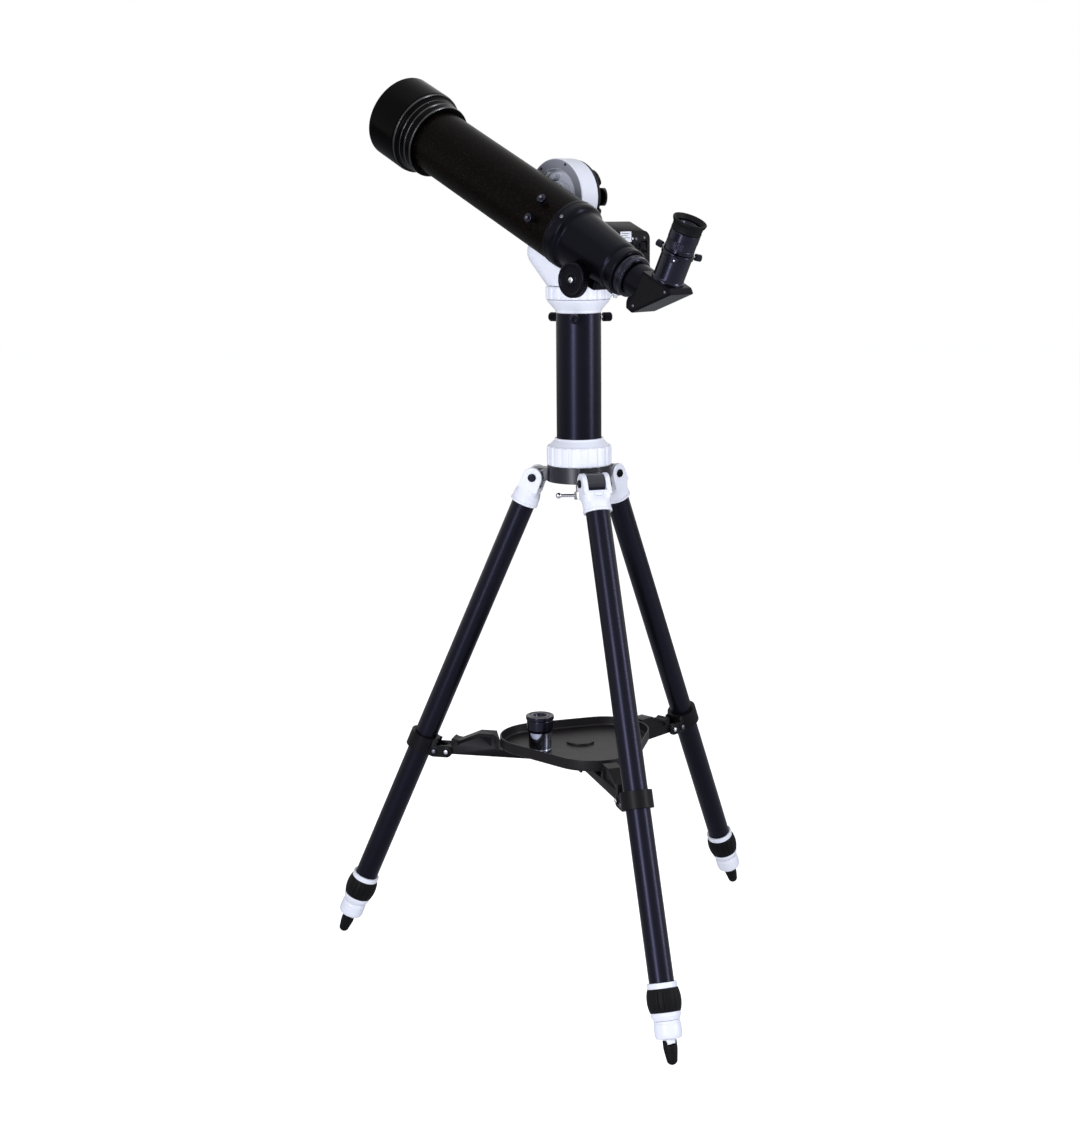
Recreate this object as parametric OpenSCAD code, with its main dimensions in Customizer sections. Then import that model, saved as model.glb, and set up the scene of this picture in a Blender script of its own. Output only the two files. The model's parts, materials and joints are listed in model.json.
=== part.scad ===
// Short refractor telescope on a motorised single-arm mount, a pier tube and a
// three-leg tripod with a spreader tray.  Millimetres, +Z up, feet on z = 0.

/* [Tripod legs] */
// Lean of each leg from the vertical, degrees
leg_splay = 23.6; // [22.5:0.1:24.5]
// Hinge pin to the ball at the end of the rubber foot
leg_length = 736.6; // [700:0.2:780]
// Direction of the front leg, degrees from the front towards the right
front_leg_turn = 16.8; // [0:0.2:40]
// Outer diameter of the upper leg tube
leg_tube_d = 31.75; // [31:0.05:32.5]
// Wall of the leg tubes
leg_tube_wall = 1.4; // [1.2:0.1:1.8]
// How far the inner leg pulls out
leg_travel = 440; // [300:10:460]
// Inner leg that stays inside at full travel
leg_overlap = 60; // [40:5:80]
// Radius of the ball at the end of the foot
foot_ball_r = 7; // [6:0.1:7.5]
// Upper diameter of the rubber foot
foot_d = 18; // [17:0.2:20]
// Length of the rubber foot above its ball centre
foot_len = 18.6; // [16:0.2:22]
// Diameter of the neck above the foot
neck_d = 16; // [14:0.2:16.6]
// Length of the neck above the foot
neck_len = 6; // [5:0.2:8]
// Diameter of the white end boot
boot_d = 35; // [34:0.2:36]
// Length of the white end boot
boot_len = 22; // [18:0.5:26]

/* [Twist locks] */
// Diameter of the white flange at the top of the lock nut
nut_flange_d = 38; // [37.4:0.1:39]
// Height of that flange
nut_flange_len = 7; // [6:0.2:8]
// Diameter of the nut under the rubber grip
nut_core_d = 36; // [35.4:0.1:36.6]
// Largest diameter of the rubber grip
grip_d = 43.5; // [42:0.5:45]
// Length of the rubber grip
grip_len = 29; // [26:0.5:32]
// Length of the white band below the grip
nut_band_len = 5; // [4:0.2:6]
// Length of the taper below the band
nut_taper_len = 5; // [4:0.2:6]
// Number of grooves round the rubber grip
grip_grooves = 18; // [12:1:24]

/* [Leg sockets] */
// Outer diameter of the socket round the leg tube
socket_d = 37; // [36.4:0.1:38]
// Lower end of the socket, below the hinge pin
socket_end = 40; // [38:0.5:48]
// Diameter of the lip at the socket mouth
socket_lip_d = 38.6; // [38.2:0.1:40]
// Radius of the two hinge ears
ear_r = 13.5; // [13:0.1:14.5]
// Width over both ears
clevis_w = 38; // [36:0.5:40]
// Width of the slot between the ears
clevis_slot = 25; // [24:0.5:26]
// Diameter of the hinge pins
hinge_pin_d = 8; // [7:0.2:9]
// Diameter of the caps on the hinge pins
pin_cap_d = 11; // [10:0.2:12]

/* [Hub and pier] */
// Hinge pins' distance from the tripod's axis
hinge_r = 61.2; // [60:0.2:64]
// Diameter of the cast hub
hub_d = 86; // [80:1:88]
// Thickness of the cast hub
hub_h = 21.4; // [20:0.2:24]
// Hub underside below the hinge pins
hub_drop = 4.2; // [3:0.2:6]
// Diameter of the centre bolt, a three-eighths thread
bolt_d = 9.5; // [9:0.1:10]
// Length of the lever on the centre bolt
lever_len = 28; // [24:1:34]
// Diameter of the ball on that lever
lever_ball_d = 8; // [6:0.5:10]
// Diameter of the pier tube
pier_d = 60; // [58:0.5:62]
// Wall of the pier tube
pier_wall = 2.2; // [1.8:0.1:3]
// Pier tube seen between the lock ring and the mount
pier_visible = 165.5; // [140:0.5:200]
// Diameter of the two fluted rings
fluted_ring_d = 87; // [86:0.5:90]
// Height of the lower fluted ring
pier_ring_h = 26.4; // [22:0.2:30]
// Height of the cone above the lower fluted ring
pier_cone_h = 10; // [8:0.5:12]
// Number of flutes on each ring
ring_flutes = 20; // [14:1:26]
// Diameter of the clamp knobs at the top of the pier
clamp_knob_d = 12.2; // [11:0.1:14]
// Height of those knobs above the pier's upper edge (negative is below)
clamp_knob_rise = -6.5; // [-9:0.5:-5]

/* [Spreader and tray] */
// Collar's middle, along the leg from the hinge pin
collar_at = 417; // [400:1:430]
// Outer diameter of the spreader collar
collar_d = 42; // [40:0.2:44]
// Height of the spreader collar
collar_h = 23; // [20:0.5:26]
// Arm pivot's distance from the leg's centre line
arm_pivot_out = 38.8; // [36:0.2:42]
// Arm pivot above the collar's middle
arm_pivot_up = 4.4; // [3:0.2:6]
// Thickness of each spreader arm
arm_t = 20; // [18:0.5:22]
// Depth of the arm under the tray
arm_bar_h = 11; // [10:0.2:11.5]
// Depth of the arm's outer block
arm_block_h = 23.5; // [20:0.5:26]
// Depth of the arm at its hump
arm_hump_h = 32.5; // [28:0.5:34]
// Arm's inner pin, from the tripod's axis
inner_pin_r = 30; // [28:0.5:32]
// Diameter of the arm's inner pin
inner_pin_d = 6; // [5:0.2:6.4]
// Reach of the tray's corners from the axis
tray_reach = 113.5; // [111:0.5:118]
// Reach of the tray's edges from the axis
tray_edge = 88; // [84:0.5:94]
// Depth of the tray
tray_depth = 15.5; // [14:0.5:20]
// Wall and floor of the tray
tray_wall = 2.2; // [1.8:0.1:3]
// Gap between the arms' bars and the spreader plate
spreader_lift = 4.6; // [4.2:0.1:6]
// Thickness of the spreader plate
spreader_plate = 2.6; // [2:0.1:3]

/* [Spare eyepiece] */
// Direction of the spare eyepiece on the tray, degrees from the front
spare_turn = -72; // [-80:1:-60]
// Distance of the spare eyepiece from the axis
spare_r = 59; // [54:0.5:62]
// Height of the chrome barrel that it stands on
spare_barrel_len = 27; // [24:0.5:30]
// Diameter of its knurled head
spare_head_d = 38.7; // [36:0.1:40]
// Height of its knurled head
spare_head_len = 23; // [20:0.5:28]

/* [Mount] */
// Direction in which the tube points, degrees from +X
aim = 135; // [125:1:145]
// Height of the white cone on the pier
base_cone_h = 17.6; // [16:0.2:20]
// Height of the azimuth clutch ring
azimuth_ring_h = 17.4; // [15:0.2:20]
// Altitude axis above the top of the azimuth ring
altitude_rise = 114; // [112:0.5:120]
// Spigot of the mount inside the pier
spigot_len = 32; // [26:1:40]
// Reach of the front shell, forward of the axis
shell_front = 65; // [58:0.5:68]
// Reach of the rear shell, behind the axis
shell_rear = 87.5; // [82:0.5:92]
// Half width of both shells
shell_half_w = 44; // [42:0.5:45]
// Height of the rear shell's top above its underside
shell_top = 81.5; // [72:0.5:84]
// Wall of both shells
shell_wall = 2.6; // [2:0.1:3.2]
// Width of the port panel
panel_w = 80; // [64:1:80]
// Height of the port panel
panel_h = 56; // [48:1:57]
// Outer diameter of the altitude housing
housing_d = 95; // [92:0.5:97]
// Saddle side of the altitude housing, from the mount's axis
housing_side = 13; // [12:0.2:14]
// Depth of the altitude housing
housing_depth = 27; // [24:0.5:30]
// Diameter of the altitude drum
drum_d = 97.5; // [96:0.5:98.5]
// Depth of the altitude drum
drum_depth = 29.6; // [26:0.2:32]
// Diameter of the drum's recess
drum_recess_d = 71; // [66:0.5:76]
// Depth of the drum's recess
drum_recess = 12; // [8:0.5:16]
// Diameter of the altitude shaft
altitude_shaft_d = 24; // [20:0.5:26]
// Depth of the altitude clutch knob
altitude_knob_depth = 12; // [10:0.5:18]
// Teeth of the worm wheel
worm_wheel_teeth = 72; // [48:1:90]

/* [Optical tube] */
// Elevation of the tube, degrees
elevation = 26.2; // [15:0.2:40]
// Tube's centre line from the mount's axis
tube_offset = 110; // [108:0.5:114]
// Outer diameter of the tube
tube_d = 83.2; // [81:0.2:84]
// Wall of the tube
tube_wall = 1.2; // [1:0.1:1.6]
// Front end of the tube, ahead of the altitude axis
tube_front = 176; // [170:0.5:182]
// Rear end of the tube, behind the altitude axis
tube_rear = 99; // [95:0.5:103]
// Outer diameter of the dew cap
dew_cap_d = 110.8; // [107:0.2:112]
// Front rim of the dew cap, ahead of the altitude axis
dew_cap_front = 243.7; // [236:0.5:250]
// Rear edge of the dew cap's collar, behind the tube's front end
dew_collar = 13; // [11:0.5:15]
// Wall of the dew cap
dew_cap_wall = 2.6; // [2:0.1:3.2]
// Clear aperture of the objective
aperture = 80; // [76:0.5:80]
// Length of the dovetail bar
dovetail_len = 150; // [120:1:170]
// Half width of the dovetail bar at its wide side
dovetail_half_w = 17.5; // [16:0.1:19]
// Depth of the dovetail bar's slanted sides
dovetail_h = 11.8; // [10:0.2:12.6]
// Length of the saddle
saddle_len = 68; // [60:1:70]
// Finder studs behind the altitude axis
finder_at = 72; // [66:0.5:78]
// Angle between the two finder studs, degrees
finder_spread = 33; // [28:1:38]
// Angle of the finder studs' middle from the side of the tube, degrees
finder_turn = 24.5; // [15:0.5:35]
// Diameter of the finder studs
finder_stud_d = 4; // [3:0.1:5]

/* [Focuser] */
// Length of the focuser's flange on the tube
focuser_flange_len = 17; // [15:0.5:19]
// Rear end of the focuser body, behind the altitude axis
focuser_end = 209; // [203:0.5:212]
// Diameter of the focuser body at its front
focuser_front_d = 72; // [70:0.5:74]
// Diameter of the focuser body at its rear
focuser_rear_d = 58.6; // [57:0.2:60]
// Pinion shaft behind the altitude axis
pinion_at = 165; // [160:0.5:170]
// Pinion shaft below the tube's centre line
pinion_drop = 29.6; // [29:0.1:31]
// Diameter of the pinion
pinion_d = 10; // [9:0.1:10.4]
// Diameter of the pinion shaft
pinion_shaft_d = 6; // [5:0.1:7]
// Diameter of the focus knobs
focus_knob_d = 43.4; // [40:0.2:46]
// Depth of the focus knobs
focus_knob_depth = 14; // [12:0.5:16]
// Outer face of each focus knob, from the tube's centre line
focus_knob_face = 46; // [44.5:0.5:47]
// Diameter of the draw tube
draw_tube_d = 48; // [46:0.2:48.2]
// Travel of the draw tube
draw_travel = 50; // [30:1:55]
// Length of the draw tube's end collar
draw_collar_len = 12.6; // [11:0.2:15]

/* [Star diagonal and eyepiece] */
// Diameter of a one-and-a-quarter-inch barrel
barrel_d = 31.75; // [31:0.05:32]
// Eyepiece axis behind the draw tube's end collar
diagonal_at = 45.8; // [45:0.2:48]
// Leg of the diagonal's triangular housing
diagonal_leg = 52; // [50:0.2:54]
// Width of the diagonal's housing
diagonal_w = 40.7; // [39:0.2:43]
// Top of the diagonal's housing above the centre line
diagonal_top = 22; // [21:0.2:23]
// Diameter of the eyepiece holder
holder_d = 37.4; // [36:0.1:38]
// Top of the eyepiece holder above the centre line
holder_top = 59; // [54:0.5:61]
// Diameter of the ring round the holder's top
holder_ring_d = 39.6; // [38:0.1:41]
// Diameter of the eyepiece body
eyepiece_d = 36.6; // [35:0.1:37.4]
// Length of the eyepiece body above the holder
eyepiece_len = 25.5; // [22:0.5:30]
// Diameter of the eyecup's flared rim
eyecup_d = 41.6; // [40:0.2:44]
// Length of the eyecup
eyecup_len = 14; // [12:0.5:18]

/* [Fits] */
// Radial clearance of shafts and sliding barrels
run_gap = 0.08; // [0.05:0.01:0.1]
// Gap between pieces that move past each other
free_gap = 0.4; // [0.3:0.05:0.5]

/* [Hidden] */
$fn = 72;

black_paint = "#1c1b1d";
black_plastic = "#232427";
white_plastic = "#eceef4";
grey_casting = "#4a4d55";
steel = "#c9ccd2";
rubber = "#161617";
lens_tint = "#9fb4c8";

// Legs
inner_tube_r = leg_tube_d/2 - leg_tube_wall - run_gap;
hinge_z = foot_ball_r + leg_length*cos(leg_splay);
foot_r = hinge_r + leg_length*sin(leg_splay);
foot_top = leg_length - foot_len;
boot_bottom = foot_top - neck_len;
boot_top = boot_bottom - boot_len;
nut_bottom = boot_top - free_gap;
band_bottom = nut_bottom - nut_taper_len;
grip_bottom = band_bottom - nut_band_len;
grip_top = grip_bottom - grip_len;
nut_top = grip_top - nut_flange_len;
tube_bottom = grip_bottom - 4;
inner_top = tube_bottom - leg_travel - leg_overlap;
socket_floor = ear_r;

// The footprint's middle is the origin; the tripod's axis stands beside it
function leg_turn(i) = front_leg_turn + 120*(i - 1);
foot_x = [for (i = [1:3]) foot_r*sin(leg_turn(i))];
foot_y = [for (i = [1:3]) -foot_r*cos(leg_turn(i))];
axis_x = -(min(foot_x) + max(foot_x))/2;
axis_y = -(min(foot_y) + max(foot_y))/2;

// Hub and pier
hub_z = hinge_z - hub_drop;
hub_top = hub_z + hub_h;
ring_z = hub_top + free_gap/2;
pier_bottom = ring_z;
pier_top = ring_z + pier_ring_h + pier_cone_h + pier_visible;
pier_r = pier_d/2;
pier_bore_r = pier_r - pier_wall;
lever_z = hub_z - 21;

// Spreader
arm_pivot_along = collar_at - arm_pivot_up;
arm_pivot_r = hinge_r + arm_pivot_along*sin(leg_splay) - arm_pivot_out*cos(leg_splay);
arm_pivot_z = hinge_z - arm_pivot_along*cos(leg_splay) - arm_pivot_out*sin(leg_splay);
arm_bottom = arm_pivot_z - 4;
inner_pin_z = arm_bottom + arm_bar_h/2;
spreader_z = arm_bottom + arm_bar_h + spreader_lift;
tray_z = spreader_z + spreader_plate + free_gap/2;
tray_floor = tray_z + tray_wall;
tray_corner_at = 2*(tray_reach - tray_edge);
tray_corner_r = tray_reach - tray_corner_at;

// Mount
azimuth_ring_z = pier_top + base_cone_h + free_gap;
turntable_z = azimuth_ring_z + azimuth_ring_h + free_gap;
altitude_z = azimuth_ring_z + azimuth_ring_h + altitude_rise;
stub_r = pier_r;
azimuth_shaft_r = 10;
turntable_h = 8;
shell_z = turntable_z + free_gap;
shell_split = -14;
altitude_shaft_r = altitude_shaft_d/2;
altitude_knob_r = 36.5;
housing_back = housing_side - housing_depth;
housing_wall = 3;
housing_rim = 5.5;
housing_neck_r = 27;
upright_half_w = 22;
drum_back = housing_side + free_gap;
drum_face = drum_back + drum_depth;
knob_side = housing_back - free_gap;
panel_z = shell_z + 13.6 + panel_h/2;
switch_in = 11;
switch_low = -8.5;

// Optical tube; "y" is measured from the tube's centre line
tube_r = tube_d/2;
saddle_y = drum_face + 0.2 - tube_offset;
bar_y = -tube_r - 16.4;
bar_top_y = bar_y + dovetail_h;
bar_top_half_w = dovetail_half_w - dovetail_h*tan(16);
cell_len = 20;
cell_r = tube_r + 3.4;
lens_at = tube_front + 10;
focuser_flange_end = tube_rear + focuser_flange_len;
draw_r = draw_tube_d/2;
draw_inner_end = tube_rear + 31;
draw_end = focuser_end + free_gap + draw_collar_len;
diagonal_s = draw_end + diagonal_at;
barrel_r = barrel_d/2;
screw_turns = [10, 125, 242];
housing_front = diagonal_s - 24;

// ---------- shared shapes ----------

module tripod_axis() translate([axis_x, axis_y, 0]) children();

// +X points outwards over leg i
module leg_plane(i) tripod_axis() rotate([0, 0, leg_turn(i) - 90]) children();

// Origin on the hinge pin, +Z down the leg, +X towards the tripod's inside
module along_leg(i) leg_plane(i) translate([hinge_r, 0, hinge_z])
    rotate([0, 180 - leg_splay, 0]) children();

// +X points the way the tube aims, +Y from the mount to the tube
module mount_frame() tripod_axis() rotate([0, 0, aim]) children();

// Origin where the altitude axis meets the tube, +X along it to the sky
module tube_frame() mount_frame() translate([0, tube_offset, altitude_z])
    rotate([0, -elevation, 0]) children();

// Turns a profile of [radius, distance] about the X, Y or Z axis
module lathe(points) rotate_extrude() polygon(points);
module lathe_x(points) rotate([0, 90, 0]) lathe(points);
module lathe_y(points) rotate([-90, 0, 0]) lathe(points);
module rod_x(r, from, to) translate([from, 0, 0]) rotate([0, 90, 0]) cylinder(r = r, h = to - from);
module rod_y(r, from, to) translate([0, from, 0]) rotate([-90, 0, 0]) cylinder(r = r, h = to - from);
module rod_z(r, from, to) translate([0, 0, from]) cylinder(r = r, h = to - from);
module pipe_z(r_out, r_in, from, to) difference() {
    rod_z(r_out, from, to);
    rod_z(r_in, from - 1, to + 1);
}

// Block between two corners
module block(low, high) translate(low) cube(high - low);

// Points along an arc, for rounded profiles
function arc(x, y, r, from, to, steps = 6) =
    [for (k = [0:steps]) let (a = from + (to - from)*k/steps) [x + r*cos(a), y + r*sin(a)]];

// Straight bar with round ends, drawn flat
module bar_2d(a, b, r) {
    d = b - a;
    translate(a) circle(r);
    translate(b) circle(r);
    translate(a) rotate(atan2(d[1], d[0])) translate([0, -r]) square([norm(d), 2*r]);
}

// Rectangle with round corners, drawn flat about its middle
module rounded_2d(w, h, r) {
    square([w - 2*r, h], center = true);
    square([w, h - 2*r], center = true);
    for (x = [-1, 1], y = [-1, 1]) translate([x*(w/2 - r), y*(h/2 - r)]) circle(r);
}

// Fluted ring round the Z axis with a running bore
module fluted_ring(from, to, bore_r) {
    ring_r = fluted_ring_d/2;
    edge = 1.6;
    flute_r = 4.2;
    difference() {
        lathe(concat([[bore_r, from], [ring_r - edge, from]],
                     [[ring_r, from + edge], [ring_r, to - edge]],
                     [[ring_r - edge, to], [bore_r, to]]));
        for (k = [0:ring_flutes - 1]) rotate([0, 0, 360*k/ring_flutes])
            translate([ring_r + flute_r - 1.3, 0, from - 1]) cylinder(r = flute_r, h = to - from + 2, $fn = 32);
    }
}

// Knurled screw head and shank along +Z, from the thread's tip
module thumb_screw(tip, shank_r, head_from, head_to, head_r, teeth = 16) {
    rod_z(shank_r, tip, head_from + 1);
    difference() {
        rod_z(head_r, head_from, head_to);
        for (k = [0:teeth - 1]) rotate([0, 0, 360*k/teeth])
            translate([head_r + 0.35, 0, head_from - 1]) cylinder(r = 0.9, h = head_to - head_from + 2, $fn = 16);
    }
}

// ---------- legs ----------

module leg_socket(i) color(white_plastic) along_leg(i) {
    body_from = socket_floor;
    lip = 4;
    difference() {
        union() {
            rod_z(socket_d/2, body_from, socket_end - lip/2);
            rod_z(socket_lip_d/2, socket_end - lip, socket_end);
            for (side = [-1, 1]) {
                ear_t = (clevis_w - clevis_slot)/2;
                ear_y = side*(clevis_slot + ear_t)/2;
                translate([0, ear_y, 0]) rod_y(ear_r, -ear_t/2, ear_t/2);
                block([-ear_r, ear_y - ear_t/2, 0], [ear_r, ear_y + ear_t/2, body_from + 6]);
            }
        }
        rod_y(hinge_pin_d/2 + run_gap, -clevis_w, clevis_w);
        rod_z(leg_tube_d/2 + 0.05, body_from + 3, socket_end + 1);
        block([-socket_d, -clevis_slot/2, -ear_r - 1], [socket_d, clevis_slot/2, body_from - 0.01]);
    }
}

module leg_tube(i) color(black_paint) along_leg(i)
    pipe_z(leg_tube_d/2, leg_tube_d/2 - leg_tube_wall, socket_floor + 3.2, tube_bottom);

module lock_nut(i) color(white_plastic) along_leg(i) {
    bore_r = leg_tube_d/2 + run_gap;
    inner_bore_r = inner_tube_r + run_gap;
    core_r = nut_core_d/2;
    seat = tube_bottom + free_gap;
    lathe([
        [bore_r, nut_top], [nut_flange_d/2 - 1, nut_top], [nut_flange_d/2, nut_top + 1],
        [nut_flange_d/2, grip_top], [core_r, grip_top], [core_r, grip_bottom],
        [nut_flange_d/2 - 0.4, grip_bottom], [nut_flange_d/2 - 0.4, band_bottom],
        [boot_d/2 - 1.5, nut_bottom], [inner_bore_r, nut_bottom], [inner_bore_r, seat],
        [bore_r, seat]
    ]);
}

module lock_grip(i) color(rubber) along_leg(i) {
    core_r = nut_core_d/2;
    end_r = core_r + 1.4;
    bulge = grip_d/2 - end_r;
    steps = 8;
    groove_r = 1.6;
    difference() {
        lathe(concat(
            [[core_r + 0.02, grip_top + 0.05]],
            [for (k = [0:steps]) let (u = k/steps)
                [end_r + bulge*sin(180*u), grip_top + 0.05 + u*(grip_len - 0.1)]],
            [[core_r + 0.02, grip_bottom - 0.05]]
        ));
        for (k = [0:grip_grooves - 1]) rotate([0, 0, 360*k/grip_grooves])
            translate([grip_d/2 + 0.5, 0, grip_top + 4]) cylinder(r = groove_r, h = grip_len - 8, $fn = 20);
    }
}

module inner_leg(i) color(white_plastic) along_leg(i) difference() {
    union() {
        rod_z(inner_tube_r, inner_top, boot_top + 1);
        lathe([[0, boot_top], [boot_d/2 - 1, boot_top], [boot_d/2, boot_top + 1],
               [boot_d/2, boot_bottom - 2], [boot_d/2 - 2, boot_bottom], [neck_d/2, boot_bottom],
               [neck_d/2, foot_top - 0.05], [0, foot_top - 0.05]]);
    }
    rod_z(inner_tube_r - leg_tube_wall, inner_top - 1, boot_top - 2);
}

module rubber_foot(i) color(rubber) along_leg(i) {
    rod_z(foot_d/2, foot_top, foot_top + 5);
    translate([0, 0, foot_top + 5]) cylinder(r1 = foot_d/2, r2 = foot_ball_r, h = foot_len - 5);
    translate([0, 0, leg_length]) sphere(foot_ball_r);
}

// ---------- hub, pier and their bolts ----------

module tripod_hub() color(grey_casting) {
    tongue_w = clevis_slot - 2*free_gap;
    tongue_r = ear_r - 1.2;
    pocket = hub_h - 9;
    difference() {
        union() {
            tripod_axis() rod_z(hub_d/2, hub_z, hub_top);
            for (i = [1:3]) leg_plane(i) {
                translate([hinge_r, 0, hinge_z]) rod_y(tongue_r, -tongue_w/2, tongue_w/2);
                block([hub_d/2 - 8, -tongue_w/2, hinge_z - hub_drop], [hinge_r, tongue_w/2, hinge_z + tongue_r]);
            }
        }
        tripod_axis() {
            rod_z(bolt_d/2 + run_gap, hub_z - 1, hub_top + 1);
            difference() {
                rod_z(hub_d/2 - 7, hub_z - 1, hub_z + pocket);
                rod_z(bolt_d/2 + 8, hub_z - 2, hub_z + pocket + 1);
            }
        }
        for (i = [1:3]) leg_plane(i) translate([hinge_r, 0, hinge_z])
            rod_y(hinge_pin_d/2 + 0.02, -clevis_w, clevis_w);
    }
}

module hinge_pins() color(black_plastic) for (i = [1:3]) leg_plane(i) translate([hinge_r, 0, hinge_z]) {
    cap_t = 2.2;
    reach = clevis_w/2 + 0.2;
    rod_y(hinge_pin_d/2, -reach - 1, reach + 1);
    for (side = [0, 180]) rotate([0, 0, side])
        lathe_y([[0, reach], [pin_cap_d/2, reach], [pin_cap_d/2, reach + cap_t - 0.8],
                 [pin_cap_d/2 - 0.8, reach + cap_t], [0, reach + cap_t]]);
}

module centre_bolt() color(steel) tripod_axis() {
    plug_grip = 12;
    rod_z(bolt_d/2, lever_z + 4, hub_top + plug_grip);
    rod_z(7, lever_z - 5, lever_z + 5);
    rod_z(9, hub_z - 3.4, hub_z - free_gap);
    translate([0, 0, lever_z]) rotate([0, 0, 180]) {
        rod_x(2.2, 0, lever_len);
        translate([lever_len, 0, 0]) sphere(lever_ball_d/2);
    }
}

module pier_tube() color(black_paint) tripod_axis() {
    plug_h = 18;
    difference() {
        rod_z(pier_r, pier_bottom, pier_top);
        rod_z(pier_bore_r, pier_bottom + plug_h, pier_top + 1);
        rod_z(bolt_d/2 + run_gap, pier_bottom - 1, pier_bottom + plug_h + 1);
        for (k = [0:2]) rotate([0, 0, 120*k + front_leg_turn - 115])
            translate([0, 0, pier_top + clamp_knob_rise]) rod_x(2.6, pier_bore_r - 3, pier_r + 3);
    }
}

module pier_ring() color(white_plastic) tripod_axis() {
    bore_r = pier_r + run_gap;
    top = ring_z + pier_ring_h;
    fluted_ring(ring_z, top, bore_r);
    lathe([[bore_r, top - 0.5], [fluted_ring_d/2 - 2.5, top - 0.5], [fluted_ring_d/2 - 2.5, top],
           [pier_r + 3, top + pier_cone_h - 2], [pier_r + 2, top + pier_cone_h], [bore_r, top + pier_cone_h]]);
}

module pier_clamp_screws() color(black_plastic) tripod_axis()
    for (k = [0:2]) rotate([0, 0, 120*k + front_leg_turn - 115])
        translate([0, 0, pier_top + clamp_knob_rise]) rotate([0, 90, 0])
            thumb_screw(pier_bore_r - 0.2, 2.4, pier_r + 5, pier_r + 17, clamp_knob_d/2);

// ---------- spreader and tray ----------

module spreader_collar(i) color(black_plastic) {
    cheek = 3.4;
    cheek_y = arm_t/2 + free_gap;
    screw_at = [arm_pivot_out - 16.5, collar_at + 2.8];
    pivot_at = [arm_pivot_out, arm_pivot_along];
    along_leg(i) {
        difference() {
            union() {
                rod_z(collar_d/2, collar_at - collar_h/2, collar_at + collar_h/2);
                for (side = [-1, 1]) translate([0, side*(cheek_y + cheek/2), 0]) rotate([90, 0, 0])
                    linear_extrude(cheek, center = true) {
                        bar_2d(pivot_at, screw_at, 8.4);
                        translate([0, collar_at - collar_h/2]) square([screw_at[0], collar_h]);
                    }
            }
            rod_z(leg_tube_d/2 + 0.05, collar_at - collar_h, collar_at + collar_h);
        }
        // clamp screw and arm pivot, with their heads
        for (p = [screw_at, pivot_at]) translate([p[0], 0, p[1]]) {
            rod_y(3, -cheek_y - 1, cheek_y + 1);
            for (side = [0, 180]) rotate([0, 0, side])
                lathe_y([[0, cheek_y + cheek - 1], [4.6, cheek_y + cheek - 1], [4.6, cheek_y + cheek + 1],
                         [3.4, cheek_y + cheek + 2], [0, cheek_y + cheek + 2]]);
        }
    }
}

module spreader_arm(i) color(black_plastic) leg_plane(i) {
    eye_r = 6.4;
    hump_in = tray_reach + 9;
    hump_out = hump_in + 22;
    block_in = arm_pivot_r - 13;
    bar_top = arm_bottom + arm_bar_h;
    difference() {
        union() {
            rotate([90, 0, 0]) linear_extrude(arm_t, center = true) {
                union() {
                    polygon([
                        [inner_pin_r, arm_bottom], [arm_pivot_r - 7, arm_bottom],
                        [arm_pivot_r - 7, arm_bottom + arm_block_h - 1.5],
                        [arm_pivot_r - 9, arm_bottom + arm_block_h], [block_in, arm_bottom + arm_block_h - 2],
                        [arm_pivot_r - 19, arm_bottom + arm_block_h - 3],
                        [hump_out, arm_bottom + arm_hump_h], [hump_in, arm_bottom + arm_hump_h],
                        [tray_reach + 5, arm_bottom + arm_hump_h - 13], [tray_reach + 2, bar_top],
                        [inner_pin_r, bar_top]
                    ]);
                    translate([inner_pin_r, inner_pin_z]) circle(arm_bar_h/2);
                    translate([arm_pivot_r, arm_pivot_z]) circle(eye_r);
                    translate([arm_pivot_r - 8, arm_pivot_z - 4]) square([8, 2*eye_r - 2.4]);
                }
            }
            translate([inner_pin_r, 0, inner_pin_z]) rod_y(inner_pin_d/2, -arm_t/2 - 4.4, arm_t/2 + 4.4);
        }
        translate([arm_pivot_r, 0, arm_pivot_z]) rod_y(3 + run_gap, -arm_t, arm_t);
        // shallow pockets under the hump
        for (side = [-1, 1]) translate([0, side*(arm_t/2 + 0.5), 0]) rotate([90, 0, 0])
            linear_extrude(6, center = true) polygon([
                [hump_in + 3, bar_top + 2], [block_in - 3, bar_top + 2], [block_in - 5, bar_top + 7],
                [hump_out - 1, arm_bottom + arm_hump_h - 5], [hump_in + 3, arm_bottom + arm_hump_h - 5]
            ]);
    }
}

module spreader_hub() color(black_plastic) {
    slack_in = 15;
    slack_out = 4.6;
    slack_z = inner_pin_d/2 + 4.2;
    ear_t = 3;
    ear_y = arm_t/2 + 0.8 + ear_t/2;
    plate_r = inner_pin_r + 16;
    tripod_axis() rod_z(plate_r, spreader_z, spreader_z + spreader_plate);
    for (i = [1:3]) leg_plane(i) for (side = [-1, 1])
        translate([0, side*ear_y, 0]) rotate([90, 0, 0]) linear_extrude(ear_t, center = true) difference() {
            translate([inner_pin_r - slack_in - inner_pin_d/2 - 3, inner_pin_z - slack_z - 3])
                square([slack_in + slack_out + inner_pin_d + 6, spreader_z - inner_pin_z + slack_z + 3.5]);
            translate([inner_pin_r - slack_in - inner_pin_d/2, inner_pin_z - slack_z])
                square([slack_in + slack_out + inner_pin_d, 2*slack_z]);
        }
}

module tray_outline(shrink) hull() for (i = [1:3])
    translate([axis_x, axis_y]) rotate(leg_turn(i) - 90) translate([tray_corner_at, 0])
        circle(tray_corner_r - shrink, $fn = 96);

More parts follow.
